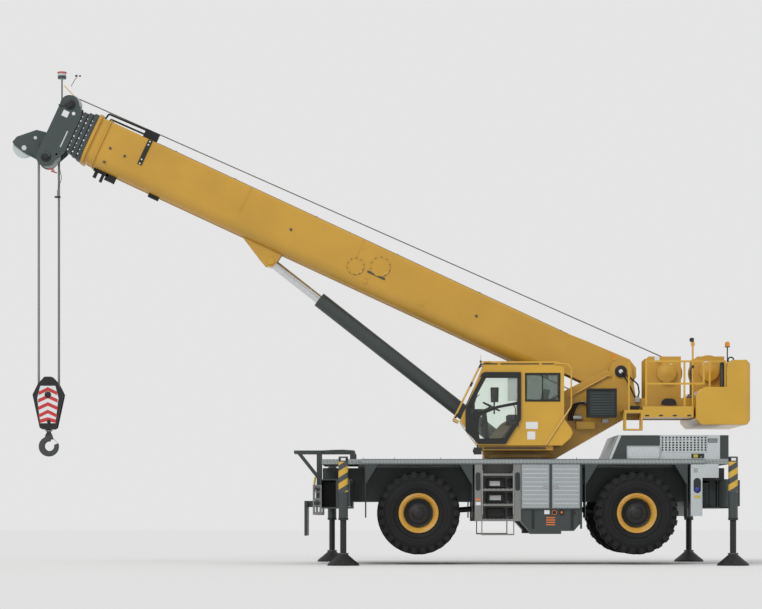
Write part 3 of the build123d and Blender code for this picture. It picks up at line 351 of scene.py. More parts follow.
looks = {
    paint: {
        "boomYellow": {"colour": (0.580, 0.320, 0.030), "roughness": 0.36, "coat": 0.35},
        "cabYellow": {"colour": (0.630, 0.360, 0.030), "roughness": 0.34, "coat": 0.4},
        "rimYellow": {"colour": (0.640, 0.350, 0.046), "roughness": 0.36, "coat": 0.3},
        "carrierGrey": {"colour": (0.036, 0.047, 0.046), "roughness": 0.46, "coat": 0.15},
        "headGrey": {"colour": (0.047, 0.066, 0.065), "roughness": 0.44},
        "stepGrey": {"colour": (0.215, 0.215, 0.205), "roughness": 0.5},
        "panelGrey": {"colour": (0.560, 0.610, 0.615), "roughness": 0.42},
        "blackPaint": {"colour": (0.008, 0.009, 0.009), "roughness": 0.5},
        "blackPlastic": {"colour": (0.020, 0.021, 0.023), "roughness": 0.58, "peel": 0.12, "peelScale": 520},
        "whiteLabel": {"colour": (0.74, 0.75, 0.76), "roughness": 0.45, "shade": 0.96},
        "redPaint": {"colour": (0.560, 0.030, 0.026), "roughness": 0.38, "coat": 0.3},
        "orangePaint": {"colour": (0.720, 0.190, 0.040), "roughness": 0.4},
        "yellowLabel": {"colour": (0.640, 0.500, 0.060), "roughness": 0.45},
        "bluePlastic": {"colour": (0.035, 0.050, 0.420), "roughness": 0.4},
        "seatVinyl": {"colour": (0.030, 0.032, 0.036), "roughness": 0.62, "peel": 0.3, "peelScale": 180},
        "nylon": {"colour": (0.540, 0.600, 0.590), "roughness": 0.4, "shade": 0.94},
        "castHook": {"colour": (0.050, 0.054, 0.056), "roughness": 0.5, "peel": 0.3},
    },
    treadPlate: {
        "treadDeck": {
            "colour": (0.450, 0.480, 0.480), "low": (0.27, 0.30, 0.30), "barScale": 9, "metallic": 0.35,
        },
        "treadPanel": {
            "colour": (0.660, 0.705, 0.715), "low": (0.52, 0.56, 0.57), "barScale": 12, "metallic": 0.25,
        },
        "treadLocker": {
            "colour": (0.440, 0.475, 0.480), "low": (0.33, 0.36, 0.37), "barScale": 12, "metallic": 0.25,
        },
    },
    rubber: {
        "tyreRubber": {"colour": (0.007, 0.0075, 0.008), "grey": (0.011, 0.0115, 0.012)},
        "hose": {"colour": (0.012, 0.012, 0.013), "grey": (0.018, 0.018, 0.019)},
    },
    clearGlass: {
        "cabGlass": {"colour": (0.90, 0.96, 0.91), "clear": 1.0, "roughness": 0.04},
        "tintGlass": {"colour": (0.20, 0.23, 0.22), "clear": 0.92, "roughness": 0.06},
        "amberLens": {"colour": (0.90, 0.36, 0.03), "clear": 0.45, "roughness": 0.3},
        "redLens": {"colour": (0.70, 0.03, 0.02), "clear": 0.35, "roughness": 0.3},
    },
    brushed: {
        "chromeRod": {
            "colour": (0.78, 0.79, 0.80), "low": (0.62, 0.63, 0.64), "roughness": 0.12, "stretch": (1, 1, 1),
        },
        "steel": {
            "colour": (0.55, 0.56, 0.57), "low": (0.36, 0.37, 0.38), "roughness": 0.28, "stretch": (1, 6, 6),
        },
        "wireRope": {
            "colour": (0.30, 0.30, 0.30), "low": (0.13, 0.13, 0.13), "roughness": 0.42, "stretch": (3, 3, 14),
        },
    },
    stripes: {
        "warningStripes": {
            "light": (0.640, 0.400, 0.040),
            "dark": (0.050, 0.058, 0.058),
            "slope": 0.62,
            "pitch": 0.232,
            "offset": 0.30,
            "share": 0.52,
        },
    },
}
finishes = {name: make(name, look) for make, kind in looks.items() for name, look in kind.items()}
print("finishes made:", len(finishes))

# The CAD's own pieces keep their meshes and take a finish each
nodeFinish = {
    "boomYellow": ("boom_base", "turntable", "winches"),
    "cabYellow": ("cab_shell", "counterweight", "platform"),
    "carrierGrey": (
        "chassis_frame", "axle_beams", "fenders", "outrigger_boxes", "tanks", "tow_frame", "lift_barrel",
    ),
    "headGrey": ("boom_section_2", "boom_section_3", "boom_section_4", "boom_head"),
    "blackPaint": (
        "oil_cooler", "cab_door", "boom_foot_pin", "lift_base_pin", "lift_sleeve", "hook_block", "engine",
    ),
    "treadDeck": ("deck",),
    "treadPanel": ("rear_cabinets", "engine_hood"),
    "treadLocker": ("lockers",),
    "stepGrey": ("steps",),
    "cabGlass": ("cab_glass", "door_glass"),
    "seatVinyl": ("cab_seat",),
    "blackPlastic": ("cab_controls",),
    "nylon": ("head_sheaves",),
    "castHook": ("hook",),
    "chromeRod": ("lift_rod",),
    "wireRope": ("hoist_line", "falls"),
}
cornerFinish = {
    "tyre": "tyreRubber",
    "rim": "rimYellow",
    "knuckle": "carrierGrey",
    "beam": "carrierGrey",
    "jack": "blackPaint",
}


def giveFinish(node, finish):
    materials = frame["nodes"][node].data.materials
    materials.clear()
    materials.append(finishes[finish])


for finish, names in nodeFinish.items():
    for name in names:
        giveFinish(name, finish)
for end in ends:
    for name in sides:
        for stem, finish in cornerFinish.items():
            giveFinish(f"{stem}_{end}_{name}", finish)
print("CAD pieces finished")

# Making pieces: each one is a bmesh that several plain shapes are added to


def addBlock(bm, low, high):
    low, high = Vector(low), Vector(high)
    size = high - low
    place = Matrix.Translation((low + high) / 2) @ Matrix.Diagonal((*size, 1))
    bmesh.ops.create_cube(bm, size=1, matrix=place)


def towards(start, end):
    # A matrix at the middle of a run, with its Z along it, and the run's length
    start, end = Vector(start), Vector(end)
    turn = (end - start).to_track_quat("Z", "Y").to_matrix().to_4x4()
    return Matrix.Translation((start + end) / 2) @ turn, (end - start).length


def addRod(bm, start, end, radius, endRadius=None, segments=24):
    place, length = towards(start, end)
    bmesh.ops.create_cone(
        bm, cap_ends=True, segments=segments, radius1=radius,
        radius2=radius if endRadius is None else endRadius, depth=length, matrix=place,
    )


def addBar(bm, start, end, width, height):
    place, length = towards(start, end)
    bmesh.ops.create_cube(bm, size=1, matrix=place @ Matrix.Diagonal((width, height, length, 1)))


def addRing(bm, centre, axis, radius, thickness, segments=32):
    # A round bar bent to a ring about an axis
    axis = Vector(axis).normalized()
    out = axis.orthogonal().normalized()
    start = Vector(centre) + out * radius
    made = bmesh.ops.create_circle(
        bm, segments=8, radius=thickness,
        matrix=Matrix.Translation(start) @ axis.cross(out).to_track_quat("Z", "Y").to_matrix().to_4x4(),
    )
    loop = {edge for vert in made["verts"] for edge in vert.link_edges}
    bmesh.ops.spin(
        bm, geom=list(made["verts"]) + list(loop), cent=centre, axis=axis,
        angle=math.tau, steps=segments, use_merge=True, use_duplicate=False,
    )


def addTurned(bm, centre, axis, profile, segments=40):
    # A turned shape: its profile is (radius, run along the axis) pairs
    axis = Vector(axis).normalized()
    out = axis.orthogonal().normalized()
    verts = [bm.verts.new(Vector(centre) + out * radius + axis * run) for radius, run in profile]
    edges = [bm.edges.new(pair) for pair in zip(verts, verts[1:])]
    bmesh.ops.spin(
        bm, geom=verts + edges, cent=centre, axis=axis,
        angle=math.tau, steps=segments, use_merge=True, use_duplicate=False,
    )


def addPlate(bm, outline, low, high, place=None):
    # An outline in X and Z drawn out along Y, or in the along and across of another matrix
    matrix = place or Matrix.Identity(4)
    verts = [bm.verts.new(matrix @ Vector((x, low, z))) for x, z in outline]
    face = bm.faces.new(verts)
    drawn = bmesh.ops.extrude_face_region(bm, geom=[face])
    moved = [item for item in drawn["geom"] if isinstance(item, bmesh.types.BMVert)]
    step = matrix.to_3x3() @ Vector((0, high - low, 0))
    bmesh.ops.translate(bm, verts=moved, vec=step)


boomPlace = Matrix.Translation(footPin) @ Matrix(
    ((boomAlong.x, 0, boomAcross.x, 0), (0, 1, 0, 0), (boomAlong.z, 0, boomAcross.z, 0), (0, 0, 0, 1))
)


def finished(name, bm, finish, sharpAngle):
    # A bmesh as an object in one finish, smooth but for its sharp edges
    mesh = bpy.data.meshes.new(name)
    bm.to_mesh(mesh)
    bm.free()
    piece = bpy.data.objects.new(name, mesh)
    bpy.context.collection.objects.link(piece)
    mesh.materials.append(finishes[finish])
    for face in mesh.polygons:
        face.use_smooth = True
    mesh.set_sharp_from_angle(angle=math.radians(sharpAngle))
    return piece


def easeEdges(piece, width, angle):
    modifier = piece.modifiers.new("edges", "BEVEL")
    modifier.width = width
    modifier.segments = 2
    modifier.limit_method = "ANGLE"
    modifier.angle_limit = math.radians(angle)
    return modifier


def joined(name, bm, finish, body=None, bevel=0.0):
    # Closes a bmesh into a finished piece, which rides on a body when one is given
    bmesh.ops.remove_doubles(bm, verts=bm.verts, dist=0.00005)
    bmesh.ops.recalc_face_normals(bm, faces=bm.faces)
    piece = finished(name, bm, finish, 32)
    if bevel:
        easeEdges(piece, bevel, 32)
    if body:
        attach(piece, body)
    return piece


@contextmanager
def pieceOf(name, finish, body, bevel=0.0, slotName=None):
    # An empty bmesh that the block fills with shapes, joined into one piece at its end
    bm = bmesh.new()
    yield bm
    joined(name, bm, finish, body, bevel)


def addSideBlocks(bm, side, near, far, *blocks):
    # Boxes on a side face between two depths, each as its low and high X, then its low and high Z
    low, high = sorted((side * near, side * far))
    for x0, x1, z0, z1 in blocks:
        addBlock(bm, (x0, low, z0), (x1, high, z1))


def addSideRod(bm, side, near, far, x, z, radius, segments=6):
    # A rod along Y on a side, between two depths
    addRod(bm, (x, side * near, z), (x, side * far, z), radius, segments=segments)


def addBoltRing(bm, centre, side, ring, count, radius, near, far, turn=0.0, segments=6):
    # Bolts on a circle round an axis along Y, between two depths from its centre
    axis = Vector((0, side, 0))
    for number in range(count):
        angle = math.tau * (number + turn) / count
        spot = Vector(centre) + Vector((math.cos(angle), 0, math.sin(angle))) * ring
        addRod(bm, spot + axis * near, spot + axis * far, radius, segments=segments)


def addTube(bm, points, radius, bend=0.06):
    # A tube along straight runs with rounded bends, as a bent handrail or hose
    points = [Vector(point) for point in points]
    curve = bpy.data.curves.new("bending", "CURVE")
    curve.dimensions = "3D"
    curve.bevel_depth = radius
    curve.bevel_resolution = 2
    curve.use_fill_caps = True
    curve.resolution_u = 4
    route = [points[0]]
    for before, corner, after in zip(points, points[1:], points[2:]):
        reach = min(bend, (corner - before).length / 2.1, (after - corner).length / 2.1)
        route.append(corner + (before - corner).normalized() * reach)
        route.append(corner)
        route.append(corner + (after - corner).normalized() * reach)
    route.append(points[-1])
    spline = curve.splines.new("NURBS")
    spline.points.add(len(route) - 1)
    for point, place in zip(spline.points, route):
        point.co = (*place, 1)
    spline.order_u = 3
    spline.use_endpoint_u = True
    holder = bpy.data.objects.new("bending", curve)
    mesh = bpy.data.meshes.new_from_object(holder)
    bm.from_mesh(mesh)
    bpy.data.objects.remove(holder)
    bpy.data.curves.remove(curve)
    bpy.data.meshes.remove(mesh)


def easedCopy(node, finish, body, bevel):
    # A CAD node's copy with its flat facets joined and its edges eased, shown in its place
    bm = bmesh.new()
    bm.from_mesh(frame["nodes"][node].data)
    bmesh.ops.remove_doubles(bm, verts=bm.verts, dist=0.00005)
    bmesh.ops.dissolve_limit(
        bm, angle_limit=math.radians(1), verts=bm.verts, edges=bm.edges, delimit={"NORMAL"}
    )
    piece = finished(node + "Eased", bm, finish, 30)
    easeEdges(piece, bevel, 35).harden_normals = True
    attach(piece, body)
    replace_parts(piece, node)


def box(node):
    low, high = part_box(node)
    return Vector(low), Vector(high)


eased = {
    "counterweight": ("cabYellow", "upper", 0.018),
    "cab_shell": ("cabYellow", "upper", 0.012),
    "turntable": ("boomYellow", "upper", 0.008),
    "winches": ("boomYellow", "upper", 0.008),
    "platform": ("cabYellow", "upper", 0.005),
    "deck": ("treadDeck", "carrier", 0.004),
    "lockers": ("treadLocker", "carrier", 0.006),
    "tanks": ("carrierGrey", "carrier", 0.012),
    "rear_cabinets": ("treadPanel", "carrier", 0.006),
    "tow_frame": ("carrierGrey", "carrier", 0.006),
    "outrigger_boxes": ("carrierGrey", "carrier", 0.006),
    "steps": ("stepGrey", "carrier", 0.004),
    "cab_door": ("blackPaint", "door", 0.006),
}
for node, (finish, body, bevel) in eased.items():
    easedCopy(node, finish, body, bevel)
print("edges eased on", len(eased), "pieces")

# Wheels: sidewall rings, the stepped rim and the planetary hub with its bolts
wheel = {
    "sidewallRings": ((0.478, 0.2965), (0.560, 0.3005), (0.650, 0.2990)),
    "ringSink": 0.0065,
    "rimRings": ((0.379, 0.258), (0.352, 0.252), (0.325, 0.236)),
    "hubProfile": (
        (0.0, 0.158), (0.070, 0.158), (0.082, 0.152), (0.100, 0.150), (0.122, 0.132), (0.150, 0.126),
        (0.200, 0.118), (0.204, 0.082), (0.236, 0.078), (0.262, 0.084), (0.276, 0.096), (0.276, 0.070),
        (0.0, 0.070),
    ),
    "hubBolts": 20,
    "boltCircle": 0.2175,
    "capBolts": 8,
    "capCircle": 0.172,
    "valve": (0.285, 0.13, 0.07),
}


def makeWheel(end, name):
    side = sides[name]
    body = f"wheel_{end}_{name}"
    low, high = box(f"tyre_{end}_{name}")
    centre = (low + high) / 2
    axis = Vector((0, side, 0))
    with pieceOf(f"sidewallRings_{end}_{name}", "tyreRubber", body) as bm:
        for radius, run in wheel["sidewallRings"]:
            for face in (1, -1):
                addRing(bm, centre + axis * (run - wheel["ringSink"]) * face, axis, radius, 0.008, 72)
    with pieceOf(f"rimRings_{end}_{name}", "rimYellow", body) as bm:
        for radius, run in wheel["rimRings"]:
            addRing(bm, centre + axis * run, axis, radius, 0.009, 64)
    with pieceOf(f"hubCover_{end}_{name}", "blackPaint", body) as bm:
        addTurned(bm, centre, axis, wheel["hubProfile"], 48)
        circle, bolts = wheel["boltCircle"], wheel["hubBolts"]
        addBoltRing(bm, centre, side, circle, bolts, 0.0125, 0.070, 0.112)
        addBoltRing(bm, centre, side, circle, bolts, 0.0070, 0.112, 0.124, segments=8)
        addBoltRing(bm, centre, side, wheel["capCircle"], wheel["capBolts"], 0.010, 0.115, 0.134)
    with pieceOf(f"valveStem_{end}_{name}", "steel", body) as bm:
        out, start, length = wheel["valve"]
        valve = centre + Vector((out, 0, 0)) + axis * start
        addRod(bm, valve, valve + axis * length, 0.006, segments=8)


for end in ends:
    for name in sides:
        makeWheel(end, name)
print("wheels dressed")

# Outriggers: striped jack tubes with caps and blank labels, and the floats' ribs and pins
jackLook = {
    "stripes": (1.405, 1.985),
    "sleeve": 0.0925,
    "sleeveWall": 0.003,
    "cap": (
        (0.0, 2.083), (0.070, 2.083), (0.086, 2.070), (0.0915, 2.052), (0.0915, 2.000), (0.0895, 2.000),
        (0.0, 2.0815),
    ),
    "collarHeights": (0.880, 0.905),
    "label": (2.005, 2.055),
    "floatRibs": 8,
    "ribTop": (0.085, 0.185),
    "ribFoot": (0.288, 0.036),
    "floatCollar": ((0.0, 0.244), (0.066, 0.244), (0.078, 0.236), (0.082, 0.215), (0.0, 0.215)),
    "floatPin": 0.228,
    "endPlate": (0.1285, 1.150, 1.620),
}


def makeJack(end, name):
    side = sides[name]
    low, high = box(f"jack_{end}_{name}")
    x, y = (low.x + high.x) / 2, (low.y + high.y) / 2
    beamBody, jackBody = f"beam_{end}_{name}", f"jack_{end}_{name}"
    upwards = (0, 0, 1)
    with pieceOf(f"jackStripes_{end}_{name}", "warningStripes", beamBody) as bm:
        (foot, top), outer = jackLook["stripes"], jackLook["sleeve"]
        inner = outer - jackLook["sleeveWall"]
        profile = ((inner, foot), (outer, foot), (outer, top), (inner, top), (inner, foot))
        addTurned(bm, (x, y, 0), upwards, profile)
    with pieceOf(f"jackCap_{end}_{name}", "blackPaint", beamBody) as bm:
        addTurned(bm, (x, y, 0), upwards, jackLook["cap"], 36)
        for height in jackLook["collarHeights"]:
            addRing(bm, (x, y, height), upwards, 0.089, 0.010, 36)
    with pieceOf(f"jackLabel_{end}_{name}", "whiteLabel", beamBody, 0.003) as bm:
        foot, top = jackLook["label"]
        addBlock(bm, (x - 0.045, y - 0.0945, foot), (x + 0.045, y - 0.085, top))
    with pieceOf(f"floatRibs_{end}_{name}", "carrierGrey", jackBody, 0.002) as bm:
        (topReach, topHeight), (footReach, footHeight) = jackLook["ribTop"], jackLook["ribFoot"]
        for number in range(jackLook["floatRibs"]):
            angle = math.tau * number / jackLook["floatRibs"]
            out = Vector((math.cos(angle), math.sin(angle), 0))
            addBar(
                bm, Vector((x, y, topHeight)) + out * topReach, Vector((x, y, footHeight)) + out * footReach,
                0.012, 0.020,
            )
        addRing(bm, (x, y, 0.016), upwards, 0.300, 0.0045, 48)
        pinHeight = jackLook["floatPin"]
        addRod(bm, (x - 0.10, y, pinHeight), (x + 0.10, y, pinHeight), 0.014, segments=16)
        addTurned(bm, (x, y, 0), upwards, jackLook["floatCollar"], 32)
    with pieceOf(f"beamEnd_{end}_{name}", "carrierGrey", beamBody, 0.004) as bm:
        half, foot, top = jackLook["endPlate"]
        inward, outward = y - side * 0.14, y - side * 0.11
        addBlock(bm, (x - half, min(inward, outward), foot), (x + half, max(inward, outward), top))


for end in ends:
    for name in sides:
        makeJack(end, name)
print("outriggers dressed")

# Carrier: deck trim, hood panels with their grille frames, step unit, lockers, tank and lamps
deckLook = {
    "edgeHeights": (1.970, 2.048),
    "outer": 1.480,
    "wide": (-0.304, 6.385),
    "boltGap": 0.42,
    "boltHeight": 2.012,
    "eyes": (-0.25, 0.35, 1.25, 3.9, 4.35),
}


def dressDeck():
    x0, x1 = deckLook["wide"]
    outer, gap, height = deckLook["outer"], deckLook["boltGap"], deckLook["boltHeight"]
    with pieceOf("deckTrim", "steel", "carrier") as bm:
        for side in sides.values():
            for z in deckLook["edgeHeights"]:
                addSideBlocks(bm, side, outer - 0.014, outer, (x0, x1, z, z + 0.008))
            for number in range(int((x1 - x0) / gap)):
                x = x0 + 0.2 + number * gap
                addSideRod(bm, side, outer - 0.010, outer - 0.0005, x, height, 0.009)
    with pieceOf("deckLashingEyes", "carrierGrey", "carrier") as bm:
        for x in deckLook["eyes"]:
            for side in sides.values():
                addRing(bm, (x, side * 1.36, 2.064), (1, 0, 0), 0.026, 0.0045, 20)


hood = {
    "halfWidth": 1.240,
    "noseSide": (
        (4.522, 2.062), (4.884, 2.062), (4.884, 2.324), (5.536, 2.324), (5.536, 2.524), (4.716, 2.524),
    ),
    "noseEdge": ((4.532, 2.062), (4.588, 2.062), (4.782, 2.524), (4.726, 2.524)),
    "grilleFrame": (5.556, 6.456, 2.196, 2.516),
    "frameBolts": (5.60, 5.95, 6.34, 6.66),
    "vent": (6.470, 6.660, 2.385, 2.470),
    "treadBoxFace": 1.300,
    "rearPanel": ((6.708, 2.064), (6.876, 2.064), (6.876, 2.528), (6.708, 2.528)),
    "topPanels": (5.2, 5.9, 6.4),
    "topCaps": (4.90, 5.15, 5.40),
}


def dressHoodSide(name, side):
    face = hood["halfWidth"] + 0.001
    with pieceOf(f"hoodNoseSide_{name}", "carrierGrey", "carrier", 0.003) as bm:
        addPlate(bm, hood["noseSide"], side * face, side * (face + 0.010))
    with pieceOf(f"hoodNoseEdge_{name}", "panelGrey", "carrier", 0.002) as bm:
        addPlate(bm, hood["noseEdge"], side * (face + 0.010), side * (face + 0.016))
    with pieceOf(f"grilleFrame_{name}", "panelGrey", "carrier") as bm:
        x0, x1, z0, z1 = hood["grilleFrame"]
        addSideBlocks(
            bm, side, face, face + 0.006,
            (x0, x0 + 0.012, z0, z1), (x1 - 0.012, x1, z0, z1),
            (x0, x1, z0, z0 + 0.010), (x0, x1, z1 - 0.010, z1),
        )
        for x in hood["frameBolts"]:
            addSideRod(bm, side, face, face + 0.007, x, 2.105, 0.010)
    x0, x1, z0, z1 = hood["vent"]
    with pieceOf(f"ventRecess_{name}", "carrierGrey", "carrier", 0.002) as bm:
        addSideBlocks(bm, side, face, face + 0.004, (x0, x1, z0, z1))
    with pieceOf(f"ventSlats_{name}", "panelGrey", "carrier", 0.002) as bm:
        for row in range(3):
            z = z0 + 0.018 + row * 0.024
            addSideBlocks(bm, side, face + 0.003, face + 0.016, (x0 + 0.008, x1 - 0.008, z, z + 0.010))
    with pieceOf(f"treadBoxTrim_{name}", "steel", "carrier") as bm:
        face = hood["treadBoxFace"]
        for x in (4.93, 5.49):
            for z in (2.10, 2.28):
                addSideRod(bm, side, face, face + 0.007, x, z, 0.010)
        for z in (2.064, 2.306):
            addSideBlocks(bm, side, face, face + 0.008, (4.90, 5.52, z, z + 0.012))


def dressHoodTop():
    half = hood["halfWidth"]
    with pieceOf("hoodRearPanel", "carrierGrey", "carrier", 0.006) as bm:
        addPlate(bm, hood["rearPanel"], -half - 0.004, half + 0.004)
    with pieceOf("hoodLabelRecess", "blackPlastic", "carrier", 0.003) as bm:
        addBlock(bm, (6.150, -1.2455, 2.078), (6.400, -1.2400, 2.168))
    with pieceOf("hoodLabel", "yellowLabel", "carrier") as bm:
        addBlock(bm, (6.190, -1.2475, 2.092), (6.275, -1.2450, 2.154))
    with pieceOf("hoodTopPanels", "panelGrey", "carrier", 0.002) as bm:
        for x in hood["topCaps"]:
            addRod(bm, (x, -0.35, 2.531), (x, -0.35, 2.540), 0.035, segments=16)
        for x in hood["topPanels"]:
            for y in (-0.7, 0.0, 0.7):
                addBlock(bm, (x - 0.22, y - 0.24, 2.529), (x + 0.22, y + 0.24, 2.5305))


def pill(x, low, high, radius, count, turn=0.0):
    # An upright slot with round ends, as the corners of its outline
    outline = []
    for number in range(count):
        angle = math.tau * (number + turn) / count
        middle = high - radius if math.sin(angle) > 0 else low + radius
        outline.append((x + radius * math.cos(angle), middle + radius * math.sin(angle)))
    return outline


steps = {
    "x": (1.908, 2.809),
    "face": 1.465,
    "rungs": (0.848, 1.143, 1.438, 1.733),
    "handhold": (1.440, 1.800, 0.050),
    "insides": ((1.50, 1.68), (1.22, 1.40), (0.93, 1.10)),
    "insideDepth": (1.165, 1.250),
}


def dressSteps(name, side):
    x0, x1 = steps["x"]
    face = steps["face"]
    near, far = side * (face - 0.02), side * (face + 0.012)
    with pieceOf(f"stepRails_{name}", "steel", "carrier") as bm:
        for x in (x0 + 0.150, x1 - 0.150):
            addTube(bm, ((x, near, 1.83), (x, far, 1.83), (x, far, 0.98), (x, near, 0.98)), 0.0085, 0.03)
    with pieceOf(f"stepHandholds_{name}", "blackPlastic", "carrier") as bm:
        inner, outer = sorted((side * (face - 0.001), side * (face + 0.004)))
        for x in (x0 + 0.065, x1 - 0.065):
            addPlate(bm, pill(x, *steps["handhold"], 16), inner, outer)
    with pieceOf(f"stepTreads_{name}", "steel", "carrier", 0.001) as bm:
        for z in steps["rungs"]:
            for number in range(7):
                x = x0 + 0.190 + number * 0.087
                addSideBlocks(bm, side, face - 0.296, face - 0.004, (x, x + 0.028, z + 0.040, z + 0.046))
    inner, outer = steps["insideDepth"]
    with pieceOf(f"stepInsides_{name}", "blackPlastic", "carrier", 0.012) as bm:
        for z0, z1 in steps["insides"]:
            addSideBlocks(
                bm, side, inner, outer,
                (x0 + 0.24, x0 + 0.60, z0, z1), (x0 + 0.66, x0 + 0.74, z0 + 0.02, z1 - 0.01),
            )
    with pieceOf(f"stepLabels_{name}", "whiteLabel", "carrier") as bm:
        addSideBlocks(
            bm, side, outer, outer + 0.002,
            (x0 + 0.30, x0 + 0.50, 1.54, 1.63), (x0 + 0.30, x0 + 0.52, 1.26, 1.35),
        )
        addSideBlocks(
            bm, side, face, face + 0.002,
            (x0 + 0.020, x0 + 0.115, 1.16, 1.22), (x0 - 0.190, x0 - 0.060, 1.84, 1.93),
        )
    with pieceOf(f"stepReflector_{name}", "orangePaint", "carrier") as bm:
        addSideBlocks(bm, side, face, face + 0.002, (x0 + 0.020, x0 + 0.115, 1.25, 1.29))


lockers = {
    "doors": ((2.818, 3.362), (3.414, 3.958)),
    "latches": (3.290, 3.486),
    "latchHeight": 1.525,
    "low": 1.097,
    "high": 1.955,
    "ribs": 9,
    "face": 1.465,
    "frame": (2.790, 4.000, 0.70, 1.075),
}


def dressLockers(name, side):
    face, low, high = lockers["face"], lockers["low"], lockers["high"]
    doors = lockers["doors"]
    with pieceOf(f"lockerDoors_{name}", "treadLocker", "carrier", 0.005) as bm:
        for x0, x1 in doors:
            addSideBlocks(bm, side, face, face + 0.010, (x0 + 0.008, x1 - 0.008, low + 0.008, high - 0.008))
    with pieceOf(f"lockerRibs_{name}", "panelGrey", "carrier", 0.003) as bm:
        ribLow, ribHigh, ribs = low + 0.06, high - 0.05, lockers["ribs"]
        for x0, x1 in doors:
            for number in range(ribs):
                z = ribLow + (ribHigh - ribLow) / ribs * (number + 0.35)
                addSideBlocks(bm, side, face + 0.009, face + 0.0135, (x0 + 0.030, x1 - 0.030, z, z + 0.016))
    with pieceOf(f"lockerLatches_{name}", "steel", "carrier", 0.002) as bm:
        z = lockers["latchHeight"]
        for x in lockers["latches"]:
            addSideRod(bm, side, face + 0.012, face + 0.020, x, z, 0.045, 28)
            addSideBlocks(bm, side, face + 0.019, face + 0.030, (x - 0.010, x + 0.010, z - 0.035, z + 0.035))
    with pieceOf(f"lockerFrame_{name}", "carrierGrey", "carrier", 0.002) as bm:
        frameStart, frameEnd, frameFoot, sill = lockers["frame"]
        (_, firstEnd), (secondStart, secondEnd) = doors
        addSideBlocks(
            bm, side, face - 0.012, face - 0.002,
            (firstEnd, secondStart, low, high), (secondEnd, frameEnd, frameFoot, high),
            (frameStart, frameEnd, sill, low),
        )


tank = {
    "face": 1.440,
    "stripes": (3.300, 3.475),
    "stripeRows": (0.905, 0.860, 0.815, 0.770),
    "straps": (3.02, 3.78),
    "caps": (
        (3.60, 1.020, 0.022, 0.050, 28), (3.84, 1.010, 0.018, 0.034, 24), (3.46, 1.015, 0.018, 0.040, 24),
    ),
    "label": (3.265, 3.365, 0.985, 1.065),
    "step": (2.975, 3.590, 0.606, 0.700),
}


def dressTank(name, side):
    face = tank["face"]
    with pieceOf(f"tankStripes_{name}", "orangePaint", "carrier") as bm:
        for z in tank["stripeRows"]:
            addSideBlocks(bm, side, face, face + 0.004, (*tank["stripes"], z, z + 0.022))
    with pieceOf(f"tankStraps_{name}", "blackPaint", "carrier", 0.003) as bm:
        for x in tank["straps"]:
            addSideBlocks(bm, side, face, face + 0.010, (x, x + 0.050, 0.70, 1.07))
        for x, z, rise, radius, segments in tank["caps"]:
            addSideRod(bm, side, face, face + rise, x, z, radius, segments)
    with pieceOf(f"tankCaps_{name}", "orangePaint", "carrier") as bm:
        addRing(bm, (3.46, side * (face + 0.018), 1.015), (0, 1, 0), 0.044, 0.006, 28)
        addSideRod(bm, side, face + 0.022, face + 0.025, 3.60, 1.020, 0.022, 20)
    with pieceOf(f"tankLabel_{name}", "whiteLabel", "carrier") as bm:
        addSideBlocks(bm, side, face, face + 0.003, tank["label"])
    with pieceOf(f"tankStep_{name}", "steel", "carrier") as bm:
        x0, x1, z0, z1 = tank["step"]
        y = side * (face - 0.02)
        addTube(bm, ((x0, y, z1), (x0, y, z0), (x1, y, z0), (x1, y, z1)), 0.008, 0.03)


rearBox = {
    "face": 1.465,
    "pill": (6.238, 1.395, 1.690, 0.072),
    "cap": ((0.0, 0.016), (0.030, 0.016), (0.040, 0.010), (0.044, 0.0), (0.0, 0.0)),
    "plate": (6.172, 6.300, 1.300, 1.352),
    "latch": (6.170, 6.245, 1.800, 1.880),
    "lampDepth": (1.02, 1.24),
    "lamp": ((0.0, 0.014), (0.022, 0.012), (0.034, 0.0), (0.0, 0.0)),
}


def dressRear(name, side):
    face = rearBox["face"]
    near, far = sorted((side * face, side * (face + 0.006)))
    x, low, high, radius = rearBox["pill"]
    with pieceOf(f"fillerRecess_{name}", "blackPlastic", "carrier", 0.002) as bm:
        addPlate(bm, pill(x, low, high, radius, 24, 0.5), near, far)
    with pieceOf(f"fillerCap_{name}", "bluePlastic", "carrier") as bm:
        addTurned(bm, (x, side * (face + 0.005), low + radius), (0, side, 0), rearBox["cap"], 28)
    with pieceOf(f"fillerPlate_{name}", "yellowLabel", "carrier") as bm:
        addSideBlocks(bm, side, face, face + 0.006, rearBox["plate"])
    with pieceOf(f"fillerLatch_{name}", "steel", "carrier") as bm:
        addSideBlocks(bm, side, face, face + 0.006, rearBox["latch"])
        start, out = far - 0.004, far + 0.012
        handle = ((6.185, start, 1.86), (6.185, out, 1.90), (6.235, out, 1.90), (6.235, start, 1.86))
        addTube(bm, handle, 0.004, 0.01)
        for z in (0.99, 1.90):
            for bx in (6.135, 6.320):
                addSideRod(bm, side, face, face + 0.006, bx, z, 0.008)
    with pieceOf(f"rearLampHousing_{name}", "blackPlastic", "carrier", 0.004) as bm:
        addSideBlocks(
            bm, side, *rearBox["lampDepth"], (6.980, 6.998, 1.190, 1.310), (6.980, 7.006, 1.350, 1.520)
        )
    with pieceOf(f"rearLamps_{name}", "redLens", "carrier") as bm:
        for z in (1.392, 1.478):
            addTurned(bm, (7.006, side * 1.13, z), (1, 0, 0), rearBox["lamp"], 24)


def dressRearEquipment():
    with pieceOf("rearEquipment", "carrierGrey", "carrier", 0.008) as bm:
        addBlock(bm, (6.362, -1.160, 1.100), (6.500, -0.960, 1.600))
        addBlock(bm, (6.510, -1.120, 1.130), (6.642, -0.930, 1.660))
        for number in range(7):
            z = 1.16 + number * 0.06
            addBlock(bm, (6.366, -1.166, z), (6.496, -1.158, z + 0.022))


